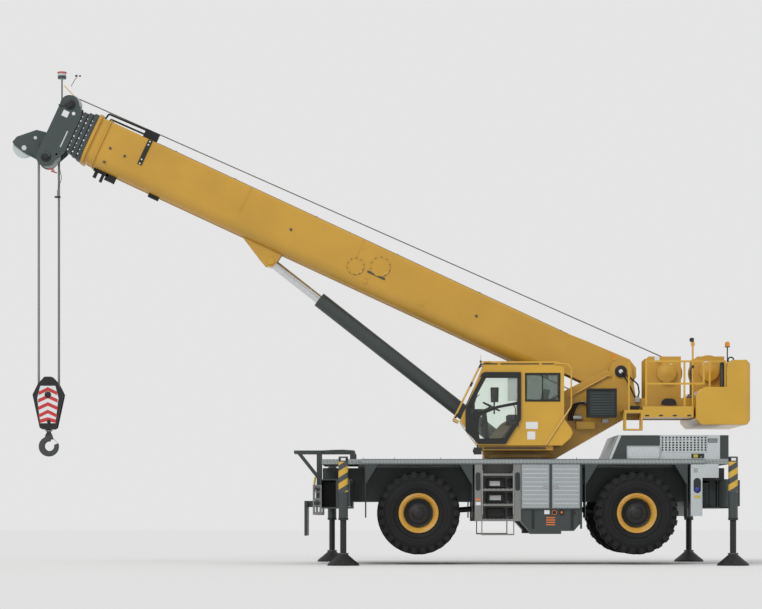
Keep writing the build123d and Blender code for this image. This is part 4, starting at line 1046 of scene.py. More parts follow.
noseLook = {
    "plate": (-1.248, -1.073, 0.972, 1.556),
    "opening": (-1.205, -1.115),
    "holes": ((-1.160, 1.405), (-1.160, 1.135)),
    "holeRing": ((0.045, -0.007), (0.064, -0.007), (0.064, 0.007), (0.045, 0.007), (0.045, -0.007)),
    "rail": (
        (-1.110, 0.42, 2.235), (-0.900, 0.90, 2.235), (-0.650, 1.10, 2.235), (-0.430, 1.18, 2.220),
        (-0.430, 1.18, 2.060),
    ),
    "guardBars": (-0.30, 0.0, 0.30),
    "towRope": ((-1.215, -0.62, 1.72), (-1.240, -0.64, 1.55), (-1.235, -0.64, 1.38)),
}


def dressNoseSide(name, side):
    x0, x1, z0, z1 = noseLook["plate"]
    left, right = noseLook["opening"]
    with pieceOf(f"noseLampPlate_{name}", "stepGrey", "carrier", 0.003) as bm:
        addSideBlocks(
            bm, side, 1.248, 1.262,
            (x0, left, z0, z1), (right, x1, z0, z1), (left, right, z1 - 0.06, z1),
            (left, right, 1.235, 1.300), (left, right, z0, z0 + 0.06),
        )
        near = min(side * 1.248, side * 1.262)
        for centreX, centreZ in noseLook["holes"]:
            addTurned(bm, (centreX, near + 0.007, centreZ + 0.062), (0, 1, 0), noseLook["holeRing"], 24)
        addSideBlocks(bm, side, 0.60, 1.25, (x0 + 0.02, x0 + 0.06, 1.46, 1.54))
    with pieceOf(f"noseRail_{name}", "carrierGrey", "carrier") as bm:
        addTube(bm, [(x, side * y, z) for x, y, z in noseLook["rail"]], 0.016, 0.08)


def dressNose():
    with pieceOf("noseGuardBars", "carrierGrey", "carrier", 0.004) as bm:
        for y in noseLook["guardBars"]:
            addBlock(bm, (-1.385, y - 0.03, 0.62), (-1.371, y + 0.03, 1.20))
    with pieceOf("noseTowRopeEnd", "yellowLabel", "carrier") as bm:
        addTube(bm, noseLook["towRope"], 0.022, 0.1)


underBody = {
    "shaftRadius": 0.055,
    "shaftEnds": ((1.06, 1.03), (2.60, 1.14), (3.10, 1.14), (4.82, 1.03)),
    "ramRadius": 0.045,
    "axleHeight": 1.005,
    "housing": (
        (0.0, -0.235), (0.070, -0.235), (0.165, -0.150), (0.205, -0.020), (0.205, 0.020), (0.165, 0.150),
        (0.070, 0.235), (0.0, 0.235),
    ),
    "housingBolts": 10,
    "boltCircle": 0.188,
}


def dressUnderside():
    # Drive shafts, differential housings and steering rams under the frame, as this type has
    shaftEnds = underBody["shaftEnds"]
    with pieceOf("driveShafts", "blackPaint", "carrier", 0.006) as bm:
        for (x0, z0), (x1, z1) in zip(shaftEnds[::2], shaftEnds[1::2]):
            addRod(bm, (x0, 0, z0), (x1, 0, z1), underBody["shaftRadius"])
        for x, z in shaftEnds:
            addRod(bm, (x - 0.05, 0, z), (x + 0.05, 0, z), 0.085)
        addBlock(bm, (2.62, -0.24, 1.00), (3.08, 0.24, 1.25))
    with pieceOf("differentials", "carrierGrey", "carrier") as bm:
        height, circle = underBody["axleHeight"], underBody["boltCircle"]
        for end in ends:
            x = jointAt[f"steer_{end}_left"].x
            addTurned(bm, (x, 0, height), (1, 0, 0), underBody["housing"], 36)
            for number in range(underBody["housingBolts"]):
                angle = math.tau * number / underBody["housingBolts"]
                y, z = circle * math.cos(angle), height + circle * math.sin(angle)
                addRod(bm, (x - 0.028, y, z), (x + 0.028, y, z), 0.010, segments=6)
    with pieceOf("steeringRams", "blackPaint", "carrier", 0.004) as bm:
        for end in ends:
            x = jointAt[f"steer_{end}_left"].x
            for side in sides.values():
                addSideRod(bm, side, 0.10, 0.52, x - 0.26, 0.985, underBody["ramRadius"], 24)
            addBlock(bm, (x - 0.31, -0.10, 0.94), (x - 0.16, 0.10, 1.03))


dressDeck()
for name, side in sides.items():
    for dress in (dressHoodSide, dressSteps, dressLockers, dressTank, dressRear, dressNoseSide):
        dress(name, side)
dressHoodTop()
dressRearEquipment()
dressNose()
dressUnderside()
print("carrier dressed")

# Boom: seams, covers, hose rails, the rope guides on its top and the lip along its belly
boomLook = {
    "face": 0.340,
    "seams": ((8.200, 0.235, -0.311), (5.725, 0.235, -0.180)),
    "studs": ((11.066, -0.248), (10.741, -0.270), (11.059, -0.547), (7.128, -0.201), (3.063, -0.204)),
    "covers": ((5.660, -0.318, 0.170), (5.207, -0.118, 0.200)),
    "smallPlates": ((5.365, -0.520, 0.050), (5.351, -0.430, 0.040), (4.165, -0.440, 0.060)),
    "coverLink": (5.02, 5.40, -0.33, -0.29),
    "rails": ((-0.19, 11.40, 0.370, 10.55, 0.395), (-0.24, 11.30, 0.285, 10.50, 0.300)),
    "bracket": (10.30, 10.59, 0.246, 0.420),
    "bellyBrackets": (
        (10.90, 11.22, -0.775, -0.716), (11.12, 11.18, -0.90, -0.77), (10.98, 11.03, -0.93, -0.77),
        (10.74, 10.95, -0.85, -0.716), (9.80, 10.02, -0.79, -0.717),
    ),
    "strap": (10.36, 10.45, -0.30, 0.235),
    "strapBolts": (-0.275, -0.19, 0.13, 0.20),
    "lip": (0.30, 11.40, -0.7255, -0.7155),
    "pipeClamps": (1.4, 3.2, 5.0, 6.8, 8.6, 9.9),
    "pipe": ((0.5, 0.275, 0.09), (5.0, 0.275, 0.09), (10.3, 0.275, 0.09)),
}


def addBoomBlock(bm, along0, along1, across0, across1, *depth):
    # A box in the boom's own directions: its low and high place along it, across it and in depth
    outline = ((along0, across0), (along1, across0), (along1, across1), (along0, across1))
    addPlate(bm, outline, min(depth), max(depth), boomPlace)


def addBoomRod(bm, along, across, side, near, far, radius, segments):
    # A rod on the boom's side, between two depths
    spot = onBoom(along, across, 0)
    addSideRod(bm, side, near, far, spot.x, spot.z, radius, segments)


def addBoomBolts(bm, along, across, ring, count, side, near, far):
    for number in range(count):
        angle = math.tau * number / count
        addBoomRod(
            bm, along + ring * math.cos(angle), across + ring * math.sin(angle), side, near, far, 0.011, 6
        )


def dressBoomSide(name, side):
    face = boomLook["face"]
    with pieceOf(f"boomSeams_{name}", "boomYellow", "boom", 0.002) as bm:
        for u, top, low in boomLook["seams"]:
            addBoomBlock(bm, u - 0.014, u + 0.014, low, top, side * face, side * (face + 0.006))
        for u, v, size in boomLook["smallPlates"]:
            addBoomBlock(
                bm, u - size, u + size, v - size / 2, v + size / 2, side * face, side * (face + 0.010)
            )
        for u, v, radius in boomLook["covers"]:
            profile = (
                (0.0, 0.012), (radius * 0.86, 0.012), (radius * 0.90, 0.020), (radius, 0.020), (radius, 0.0),
                (0.0, 0.0),
            )
            addTurned(bm, onBoom(u, v, side * face), (0, side, 0), profile, 48)
    with pieceOf(f"boomStuds_{name}", "headGrey", "boom", 0.001) as bm:
        for u, v, radius in boomLook["covers"]:
            addBoomBolts(bm, u, v, radius * 0.95, 10, side, face + 0.018, face + 0.028)
        for u, v in boomLook["studs"]:
            addBoomRod(bm, u, v, side, face, face + 0.014, 0.026, 20)
        addBoomBlock(bm, *boomLook["coverLink"], side * face, side * (face + 0.012))


def dressBoomTop():
    face = boomLook["face"]
    low, high, v0, v1 = boomLook["lip"]
    with pieceOf("boomBellyRails", "boomYellow", "boom", 0.002) as bm:
        for y in (-0.10, 0.10):
            addBoomBlock(bm, low, high, v0, v1, y - 0.012, y + 0.012)
    with pieceOf("boomHoses", "hose", "boom", 0.003) as bm:
        for y, u0, v0, u1, v1 in boomLook["rails"]:
            route = ((u0 + 0.02, 0.25), (u0, v0), (u1, v1), (u1 - 0.16, 0.30))
            addTube(bm, [onBoom(u, v, y) for u, v in route], 0.019)
        addBoomBlock(bm, *boomLook["bracket"], -0.27, -0.15)
        for bracket in boomLook["bellyBrackets"]:
            addBoomBlock(bm, *bracket, -0.14, -0.04)
    u0, u1, v0, v1 = boomLook["strap"]
    with pieceOf("boomStrap", "blackPaint", "boom", 0.004) as bm:
        addBoomBlock(bm, u0, u1, v0, v1, -face - 0.016, -face)
    with pieceOf("boomStrapBolts", "whiteLabel", "boom") as bm:
        for v in boomLook["strapBolts"]:
            addBoomRod(bm, (u0 + u1) / 2, v, -1, face + 0.014, face + 0.024, 0.016, 12)
    with pieceOf("boomPipe", "hose", "boom") as bm:
        for u in boomLook["pipeClamps"]:
            addBoomBlock(bm, u - 0.02, u + 0.02, 0.245, 0.262, 0.02, 0.12)
            addBoomBlock(bm, u - 0.02, u + 0.02, 0.245, 0.290, 0.06, 0.075)
        addTube(bm, [onBoom(*place) for place in boomLook["pipe"]], 0.012, 0.2)


# Head: bolted bosses, blank plates, nose pins, the lamp, the wind gauge and the limit weight
headLook = {
    "face": 0.262,
    "bosses": ((12.166, 0.208), (12.169, -0.932)),
    "bossProfile": (
        (0.0, 0.052), (0.046, 0.052), (0.054, 0.046), (0.058, 0.030), (0.084, 0.026), (0.105, 0.018),
        (0.105, 0.0), (0.0, 0.0),
    ),
    "boltRing": 0.0735,
    "bolts": 12,
    "whitePlate": (12.177, 0.005, 0.125),
    "roundPlate": (12.030, 0.075, 0.034),
    "slit": (11.979, 12.003, -0.640, -0.290),
    "lever": ((12.030, -1.120), (11.908, -1.107)),
    "lamp": (-6.265, -0.251),
    "lampTop": ((0.0, 0.088), (0.088, 0.088), (0.096, 0.078), (0.092, 0.058), (0.0, 0.058)),
    "lampBody": (
        (0.0, 0.118), (0.086, 0.118), (0.078, 0.070), (0.060, 0.052), (0.064, 0.020), (0.040, 0.0),
        (0.0, 0.0),
    ),
    "gauge": (-5.955, -0.251, 9.712),
    "gaugeCup": ((0.0, -0.020), (0.014, -0.014), (0.020, 0.0), (0.017, 0.0), (0.0, -0.015)),
    "nosePins": ((-6.796, 8.480, 0.032, 20), (-7.021, 8.281, 0.048, 24)),
}


def dressHeadSide(name, side):
    face = headLook["face"]
    with pieceOf(f"headBosses_{name}", "blackPaint", "head") as bm:
        for u, v in headLook["bosses"]:
            addTurned(bm, onBoom(u, v, side * (face - 0.012)), (0, side, 0), headLook["bossProfile"])
            addBoomBolts(bm, u, v, headLook["boltRing"], headLook["bolts"], side, face, face + 0.022)
    with pieceOf(f"headPlates_{name}", "whiteLabel", "head", 0.001) as bm:
        u, v, size = headLook["whitePlate"]
        half = size / 2
        addBoomBlock(bm, u - half, u + half, v - half, v + half, side * (face - 0.02), side * (face + 0.003))
        u, v, radius = headLook["roundPlate"]
        addBoomRod(bm, u, v, side, face - 0.02, face + 0.003, radius, 32)
    with pieceOf(f"headSlit_{name}", "panelGrey", "head", 0.001) as bm:
        addBoomBlock(bm, *headLook["slit"], side * (face - 0.02), side * (face + 0.002))
    with pieceOf(f"headLever_{name}", "redPaint", "head", 0.004) as bm:
        start, end = headLook["lever"]
        addBar(bm, onBoom(*start, side * 0.20), onBoom(*end, side * 0.20), 0.05, 0.024)


def dressLamp():
    upwards = (0, 0, 1)
    lampX, lampY = headLook["lamp"]
    with pieceOf("headLampTop", "redPaint", "head") as bm:
        addTurned(bm, (lampX, lampY, 9.700), upwards, headLook["lampTop"], 28)
    with pieceOf("headLampBody", "panelGrey", "head") as bm:
        addTurned(bm, (lampX, lampY, 9.640), upwards, headLook["lampBody"], 28)
    with pieceOf("lampStrut", "cabYellow", "head", 0.002) as bm:
        addBar(bm, (-6.225, lampY, 9.52), (-6.030, lampY, 9.32), 0.016, 0.016)


def dressGauge():
    # Three cups on arms over a bent stem
    hub = Vector(headLook["gauge"])
    with pieceOf("windGauge", "blackPlastic", "head") as bm:
        addTube(bm, ((-6.085, hub.y, 9.50), (-6.02, hub.y, 9.62), (hub.x, hub.y, 9.70)), 0.006, 0.05)
        for number in range(3):
            angle = math.tau * number / 3 + 0.4
            spot = hub + Vector((math.cos(angle), math.sin(angle), 0)) * 0.050
            addBar(bm, hub, spot, 0.005, 0.005)
            addTurned(bm, spot, (-math.sin(angle), math.cos(angle), 0), headLook["gaugeCup"], 14)


def dressNosePins():
    inner, outer = -0.200, -headLook["face"]
    with pieceOf("nosePins", "nylon", "head") as bm:
        for x, z, radius, segments in headLook["nosePins"]:
            addRod(bm, (x, outer, z), (x, inner, z), radius, segments=segments)
        addRod(bm, onBoom(12.00, -0.80, outer), onBoom(12.00, -0.80, -0.230), 0.022, segments=16)


def dressLimitWeight():
    with pieceOf("hoistLimitWeight", "blackPlastic", "head") as bm:
        line = (
            onBoom(11.90, -0.95, -0.16), onBoom(11.72, -1.18, -0.16),
            (-6.372, -0.16, 7.42), (-6.372, -0.11, 7.345),
        )
        addTube(bm, line, 0.0055, 0.05)
        addRing(bm, (-6.372, -0.10, 7.318), (0, 0, 1), 0.050, 0.016, 24)


# Hook block: the striped face plates, the sheave axle's end and the swivel's collar
blockLook = {
    "x": -6.5574,
    "face": 0.165,
    "plate": (
        (-0.150, 2.800), (0.150, 2.800), (0.212, 3.300), (0.150, 3.545), (-0.150, 3.545), (-0.212, 3.300),
    ),
    "plateLow": 2.802,
    "chevrons": 5,
    "pitch": 0.150,
    "top": 3.520,
    "drop": 0.090,
    "band": 0.072,
    "widest": 3.30,
    "axleEnd": (
        (0.0, 0.026), (0.034, 0.026), (0.042, 0.020), (0.060, 0.016), (0.066, 0.004), (0.066, 0.0),
        (0.0, 0.0),
    ),
    "pinEnd": ((0.0, 0.020), (0.030, 0.020), (0.038, 0.010), (0.038, 0.0), (0.0, 0.0)),
    "collar": ((0.048, 0.0), (0.070, 0.004), (0.076, 0.016), (0.070, 0.030), (0.048, 0.034), (0.048, 0.0)),
}


def dressBlockSide(name, side):
    centre, face = blockLook["x"], blockLook["face"]
    with pieceOf(f"blockPlate_{name}", "whiteLabel", "tackle", 0.001) as bm:
        outline = [(centre + x, z) for x, z in blockLook["plate"]]
        addPlate(bm, outline, *sorted((side * face, side * (face + 0.003))))
    with pieceOf(f"blockChevrons_{name}", "redPaint", "tackle") as bm:
        drop, band = blockLook["drop"], blockLook["band"]
        for number in range(blockLook["chevrons"]):
            top = blockLook["top"] - number * blockLook["pitch"]
            half = min(0.195, 0.135 + 0.075 * (1 - abs(top - blockLook["widest"]) / 0.6))
            low = max(top - drop - band, blockLook["plateLow"])
            left, right = centre - half, centre + half
            outline = (
                (left, low), (left, low + band), (centre, top), (right, low + band), (right, low),
                (centre, top - band),
            )
            addPlate(bm, outline, *sorted((side * (face + 0.002), side * (face + 0.005))))
    with pieceOf(f"blockBosses_{name}", "blackPaint", "tackle") as bm:
        addTurned(bm, (centre, side * face, 3.370), (0, side, 0), blockLook["axleEnd"], 32)
        addTurned(bm, (centre + 0.02, side * face, 2.830), (0, side, 0), blockLook["pinEnd"], 24)
        for z in (3.62, 2.73):
            addSideRod(bm, side, face, face + 0.010, centre, z, 0.018)


def dressHook():
    centre = blockLook["x"]
    with pieceOf("hookCollar", "steel", "hook") as bm:
        addTurned(bm, (centre, 0, 2.640), (0, 0, 1), blockLook["collar"], 32)
    with pieceOf("hookLatch", "steel", "hook", 0.002) as bm:
        addBar(bm, (centre + 0.075, 0, 2.520), (centre + 0.185, 0, 2.395), 0.040, 0.008)


# Rope: the run over the boom in one stretch for each part that slides, then the run to the drum
ropeLook = {
    "radius": 0.011,
    "lengths": 12,
    "endGap": (0.0046, 0.010),
    "drumTangent": (5.866, 0.0, 4.061),
    "parts": ("boom", "section_2", "section_3", "section_4", "head"),
    "drums": ((5.744, 3.787), (6.590, 3.815)),
    "drumRadius": 0.291,
    "turns": 26,
    "turnPitch": 0.024,
}


def ropeRun(start, end):
    # A rope's straight run in short lengths
    bm = bmesh.new()
    addRod(bm, start, end, ropeLook["radius"], segments=12)
    along = (end - start).normalized()
    for number in range(1, ropeLook["lengths"]):
        place = start.lerp(end, number / ropeLook["lengths"])
        everything = bm.verts[:] + bm.edges[:] + bm.faces[:]
        bmesh.ops.bisect_plane(bm, geom=everything, plane_co=place, plane_no=along)
    return bm


def blendedRun(name, start, end):
    piece = joined(name, ropeRun(start, end), "wireRope")
    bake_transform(piece)
    return piece


def makeRope():
    low, high = box("hoist_line")
    gapAlong, gapAcross = ropeLook["endGap"]
    start = Vector((high.x - gapAlong, 0, low.z + gapAcross))
    end = Vector((low.x + gapAlong, 0, high.z - gapAcross))
    parts = ropeLook["parts"]
    runs = len(parts) - 1
    for number, (near, far) in enumerate(zip(parts, parts[1:])):
        runStart, runEnd = start.lerp(end, number / runs), start.lerp(end, (number + 1) / runs)
        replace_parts(blendedRun(f"hoistRope_{number + 1}", runStart, runEnd), "hoist_line")
    drum = Vector(ropeLook["drumTangent"])
    middle = start.lerp(drum, 0.5)
    blendedRun("hoistRopeTail_1", middle, start)
    blendedRun("hoistRopeTail_2", drum, middle)


def dressDrums():
    # Rope wound on the two hoist drums, one ring for each turn
    with pieceOf("drumRope", "wireRope", "upper", slotName="rope") as bm:
        for x, z in ropeLook["drums"]:
            for number in range(ropeLook["turns"]):
                y = -0.300 + number * ropeLook["turnPitch"]
                addRing(bm, (x, y, z), (0, 1, 0), ropeLook["drumRadius"], 0.0115, 40)


# Bolts round the mouth of each sliding part
collarLook = {
    "mouths": (
        ("boom_section_2", "section_2", 11.607), ("boom_section_3", "section_3", 11.719),
        ("boom_section_4", "section_4", 11.831),
    ),
    "rows": (-0.62, -0.53, -0.44, -0.33, -0.22, -0.11, 0.0, 0.09),
}


def dressCollars(name, side):
    for node, body, u in collarLook["mouths"]:
        outer = box(node)[1].y
        with pieceOf(f"{node}Bolts_{name}", "whiteLabel", body) as bm:
            for number, v in enumerate(collarLook["rows"]):
                radius = 0.011 if number % 3 else 0.016
                addBoomRod(bm, u, v, side, outer - 0.006, outer + 0.008, radius, 8)


for name, side in sides.items():
    for dress in (dressBoomSide, dressHeadSide, dressBlockSide, dressCollars):
        dress(name, side)
dressBoomTop()
dressLamp()
dressGauge()
dressNosePins()
dressLimitWeight()
dressHook()
makeRope()
dressDrums()
print("boom dressed")

# Cab: guard, rubber seals, roof strips, window frames, labels and grab rail
cab = {
    "left": -1.322,
    "right": -0.470,
    "door": -1.370,
    "roof": 3.966,
    "roofStrips": ((2.067, 2.360), (2.416, 3.169), (3.223, 3.455)),
    "stripHeight": 3.918,
    "guard": ((1.508, 2.809), (2.054, 3.950)),
    "guardRungs": (0.0, 0.33, 0.66, 1.0),
    "guardPads": (0.08, 0.62, 0.94),
    "visor": (2.015, 2.794, 3.658, 3.736),
    "meshPanel": (2.553, 2.740, 3.191, 3.639),
    "screen": (2.249, 2.379, 3.191, 3.464),
    "rearWindow": (2.896, 3.584, 3.183, 3.742),
    "labels": ((2.911, 3.145, 2.647, 2.785), (2.939, 3.095, 2.442, 2.598)),
    "grabRail": (
        (3.473, 3.924), (3.720, 3.912), (3.796, 3.834), (3.796, 3.083), (3.646, 2.859), (3.299, 2.337),
    ),
    "railFeet": ((3.473, 3.473, 3.924), (3.796, 3.776, 3.45), (3.299, 3.299, 2.345)),
    "lampLens": ((0.0, 0.018), (0.030, 0.014), (0.040, 0.0), (0.0, 0.0)),
    "roofRibs": 9,
}


def addFrame(bm, x0, x1, z0, z1, width, low, high):
    # Four bars round an opening seen from the side
    addBlock(bm, (x0, low, z0), (x1, high, z0 + width))
    addBlock(bm, (x0, low, z1 - width), (x1, high, z1))
    addBlock(bm, (x0, low, z0 + width), (x0 + width, high, z1 - width))
    addBlock(bm, (x1 - width, low, z0 + width), (x1, high, z1 - width))


def dressGuard():
    # A ladder of tubes in front of the windscreen, with pads on its near side, and the roof's strips
    near, far = cab["left"] - 0.018, cab["right"] - 0.020
    (x0, z0), (x1, z1) = cab["guard"]
    with pieceOf("cabGuard", "cabYellow", "upper") as bm:
        for y in (near, far):
            route = ((x0 + 0.10, y, z0 - 0.02), (x0, y, z0 + 0.03), (x1, y, z1), (x1 + 0.16, y, z1 + 0.008))
            addTube(bm, route, 0.016, 0.05)
        for step in cab["guardRungs"]:
            x, z = x0 + (x1 - x0) * step, z0 + 0.03 + (z1 - z0 - 0.03) * step
            addRod(bm, (x, near, z), (x, far, z), 0.012, segments=14)
    with pieceOf("cabTrim", "blackPlastic", "upper", 0.002) as bm:
        for step in cab["guardPads"]:
            x, z = x0 + (x1 - x0) * step, z0 + (z1 - z0) * step
            addRod(bm, (x - 0.02, near, z - 0.042), (x + 0.02, near, z + 0.042), 0.021, segments=16)
        height, left, roof = cab["stripHeight"], cab["left"], cab["roof"]
        for low, high in cab["roofStrips"]:
            for y in (left - 0.010, cab["right"] + 0.002):
                addBlock(bm, (low, y, height - 0.010), (high, y + 0.010, height + 0.010))
        addBlock(bm, (2.10, left + 0.02, 2.262), (3.30, left + 0.10, 2.286))
        addRod(bm, (2.042, -1.05, roof - 0.01), (2.042, -1.05, roof + 0.03), 0.022, segments=16)
        addRod(bm, (2.042, -1.05, roof + 0.03), (2.042, -1.05, roof + 0.150), 0.004, 0.002, segments=8)


def dressCabShell():
    left, roof = cab["left"], cab["roof"]
    with pieceOf("cabFrontLamp", "blackPlastic", "upper", 0.006) as bm:
        addBlock(bm, (1.894, -1.335, 2.150), (2.050, -1.255, 2.288))
        addTurned(bm, (1.894, -1.295, 2.219), (-1, 0, 0), cab["lampLens"], 24)
        addBar(bm, (1.972, -1.29, 2.286), (1.972, -1.20, 2.335), 0.030, 0.020)
    x0, x1, z0, z1 = cab["rearWindow"]
    with pieceOf("cabRearWindowFrame", "blackPaint", "upper", 0.004) as bm:
        addFrame(bm, x0, x1, z0, z1, 0.036, left - 0.009, left + 0.004)
        addBlock(bm, (x0 + 0.33, left - 0.006, z0 + 0.03), (x0 + 0.352, left + 0.004, z1 - 0.03))
    with pieceOf("rearWindowTint", "tintGlass", "upper") as bm:
        addBlock(bm, (x0 + 0.030, -1.293, z0 + 0.030), (x1 - 0.030, -1.291, z1 - 0.030))
    with pieceOf("cabLabels", "whiteLabel", "upper", 0.001) as bm:
        for x0, x1, z0, z1 in cab["labels"]:
            addBlock(bm, (x0, left - 0.003, z0), (x1, left + 0.002, z1))
    with pieceOf("cabGrabRail", "cabYellow", "upper") as bm:
        addTube(bm, [(x, left - 0.020, z) for x, z in cab["grabRail"]], 0.015, 0.09)
        for xOut, xIn, z in cab["railFeet"]:
            addRod(bm, (xOut, left - 0.020, z), (xIn, left + 0.01, z), 0.010, segments=10)
    with pieceOf("windscreenWiper", "blackPlastic", "upper") as bm:
        addTube(bm, ((1.72, -0.96, 3.02), (1.98, -0.96, 3.30), (2.02, -0.96, 3.34)), 0.007, 0.05)
        addBar(bm, (1.70, -0.96, 3.00), (1.90, -0.96, 3.44), 0.012, 0.018)
    with pieceOf("cabRoofRibs", "cabYellow", "upper", 0.003) as bm:
        for number in range(cab["roofRibs"]):
            y = left + 0.06 + number * 0.08
            addBlock(bm, (2.20, y, roof - 0.001), (3.40, y + 0.015, roof + 0.006))
    with pieceOf("cabScreen", "blackPlastic", "upper", 0.008) as bm:
        x0, x1, z0, z1 = cab["screen"]
        addBlock(bm, (x0, -1.02, z0), (x1, -0.90, z1))
        addRod(bm, (x0 + 0.06, -0.96, 2.95), (x0 + 0.06, -0.96, z0), 0.016)
        addFrame(bm, x0 - 0.01, x1 + 0.01, z0 - 0.01, z1 + 0.01, 0.014, -1.035, -1.015)


def dressDoor():
    face = cab["door"]
    with pieceOf("doorVisor", "blackPaint", "door", 0.002) as bm:
        x0, x1, z0, z1 = cab["visor"]
        addPlate(bm, ((x0, z0), (x1, z0 + 0.002), (x1, z1), (x0 + 0.04, z1)), face - 0.004, face + 0.001)
    with pieceOf("doorMeshPanel", "whiteLabel", "door", 0.001) as bm:
        x0, x1, z0, z1 = cab["meshPanel"]
        addBlock(bm, (x0, face + 0.036, z0), (x1, face + 0.039, z1))
    with pieceOf("doorHandle", "blackPlastic", "door", 0.002) as bm:
        near, far = face - 0.012, face - 0.030
        bail = ((2.66, near, 3.12), (2.705, far, 3.05), (2.705, far, 2.86), (2.66, near, 2.79))
        addTube(bm, bail, 0.010, 0.04)
        addBlock(bm, (2.70, face - 0.012, 2.70), (2.77, face + 0.002, 2.78))


# Superstructure: foot pin cover, hoses, valve, cooler frame, beacon and boxes round the turntable
upperLook = {
    "face": -0.406,
    "pinCover": (
        (0.0, 0.012), (0.064, 0.012), (0.072, 0.010), (0.100, 0.010), (0.122, 0.004), (0.124, -0.004),
        (0.0, -0.004),
    ),
    "pinCentre": ((0.0, 0.006), (0.038, 0.006), (0.042, 0.0), (0.0, 0.0)),
    "pinBolts": 8,
    "cooler": (4.137, 4.699, 2.879, 3.447),
    "coolerFace": -1.150,
    "finRows": 15,
    "brace": ((3.864, 3.331), (4.610, 3.748)),
    "hoseShifts": (0.0, 0.040, 0.080),
    "looseHoses": (
        (
            0.015,
            (
                (4.86, 0.05, 3.80), (5.02, 0.06, 3.70), (5.18, 0.05, 3.56), (5.206, 0.04, 3.40),
                (5.17, 0.03, 3.27),
            ),
        ),
        (0.013, ((4.90, 0.05, 3.74), (4.98, 0.06, 3.60), (5.06, 0.05, 3.44), (5.14, 0.03, 3.27))),
    ),
    "beaconPost": (4.654, -1.02, 3.440, 4.010, 4.040),
}


def beaconLens(top, rim):
    # The turned profile of a beacon's lens, from the width of its top and of its rim
    return ((0.0, 0.100), (top, 0.096), (rim - 0.004, 0.076), (rim, 0.010), (rim, 0.0), (0.0, 0.0))


def dressFootPin(name, side):
    out = abs(upperLook["face"])
    centre = Vector((footPin.x, side * out + side * 0.024, footPin.z))
    with pieceOf(f"footPinCover_{name}", "blackPaint", "upper") as bm:
        addTurned(bm, centre, (0, side, 0), upperLook["pinCover"], 48)
        addBoltRing(bm, centre, side, 0.086, upperLook["pinBolts"], 0.010, 0.008, 0.020, turn=0.5)
    with pieceOf(f"footPinCentre_{name}", "whiteLabel", "upper") as bm:
        addTurned(bm, centre + Vector((0, side * 0.012, 0)), (0, side, 0), upperLook["pinCentre"], 32)
    with pieceOf(f"sideBrace_{name}", "boomYellow", "upper") as bm:
        (x0, z0), (x1, z1) = upperLook["brace"]
        addRod(bm, (x0, side * (out + 0.03), z0), (x1, side * (out + 0.03), z1), 0.020)
        for x, z in upperLook["brace"]:
            addSideRod(bm, side, out - 0.005, out + 0.055, x, z, 0.034, 24)


def dressUpper():
    face = upperLook["face"]
    with pieceOf("turntableHoses", "hose", "upper") as bm:
        for shift in upperLook["hoseShifts"]:
            route = (
                (3.80 + shift, face - 0.04, 2.84), (3.82 + shift, face - 0.05 - shift / 2, 3.00),
                (3.90 + shift, face - 0.06, 3.16), (4.04 + shift / 2, face - 0.05, 3.20),
                (4.20, face - 0.02, 3.15 + shift / 3),
            )
            addTube(bm, route, 0.016, 0.08)
        for radius, route in upperLook["looseHoses"]:
            addTube(bm, [(x, face - out, z) for x, out, z in route], radius, 0.1)
    with pieceOf("turntableValves", "steel", "upper", 0.003) as bm:
        addBlock(bm, (5.120, face - 0.070, 3.205), (5.215, face, 3.300))
        for x in (5.140, 5.168, 5.196):
            addRod(bm, (x, face - 0.045, 3.300), (x, face - 0.045, 3.335), 0.010, segments=12)
        addBlock(bm, (4.055, face - 0.050, 3.173), (4.168, face, 3.224))
        addRod(bm, (3.890, face - 0.055, 2.900), (4.067, face - 0.055, 2.900), 0.052, segments=28)
        addBlock(bm, (4.471, face - 0.080, 2.796), (4.591, face, 2.875))
    with pieceOf("turntableBox", "blackPlastic", "upper", 0.005) as bm:
        addBlock(bm, (5.007, face - 0.110, 3.034), (5.226, face, 3.133))
        for number in range(6):
            x = 5.020 + number * 0.034
            addBlock(bm, (x, face - 0.116, 3.045), (x + 0.018, face - 0.108, 3.122))
    with pieceOf("batteryCover", "cabYellow", "upper", 0.006) as bm:
        addBlock(bm, (3.951, face - 0.130, 2.667), (4.333, face, 2.819))
        addBlock(bm, (3.975, face - 0.136, 2.690), (4.309, face - 0.128, 2.796))


def dressCooler():
    x0, x1, z0, z1 = upperLook["cooler"]
    y = upperLook["coolerFace"]
    with pieceOf("coolerFrame", "blackPaint", "upper", 0.003) as bm:
        addFrame(bm, x0, x1, z0, z1, 0.042, y - 0.016, y + 0.004)
        for x in (x0 + 0.02, x1 - 0.02):
            for z in (z0 + 0.02, z1 - 0.02):
                addRod(bm, (x, y - 0.014, z), (x, y - 0.022, z), 0.009, segments=6)
    with pieceOf("coolerFins", "headGrey", "upper", 0.002) as bm:
        left, right, rows = x0 + 0.044, x1 - 0.044, upperLook["finRows"]
        for number in range(rows):
            z = z0 + 0.052 + number * (z1 - z0 - 0.104) / rows
            addPlate(bm, ((left, z), (right, z), (right, z + 0.020), (left, z + 0.020)), y - 0.010, y - 0.002)
    x, y, low, base, top = upperLook["beaconPost"]
    with pieceOf("beaconPost", "boomYellow", "upper") as bm:
        addRod(bm, (x, y, low), (x, y, base), 0.014)
        addRod(bm, (x, y, base), (x, y, top), 0.055, segments=28)
    with pieceOf("beacon", "amberLens", "upper") as bm:
        addTurned(bm, (x, y, top), (0, 0, 1), beaconLens(0.030, 0.052), 28)
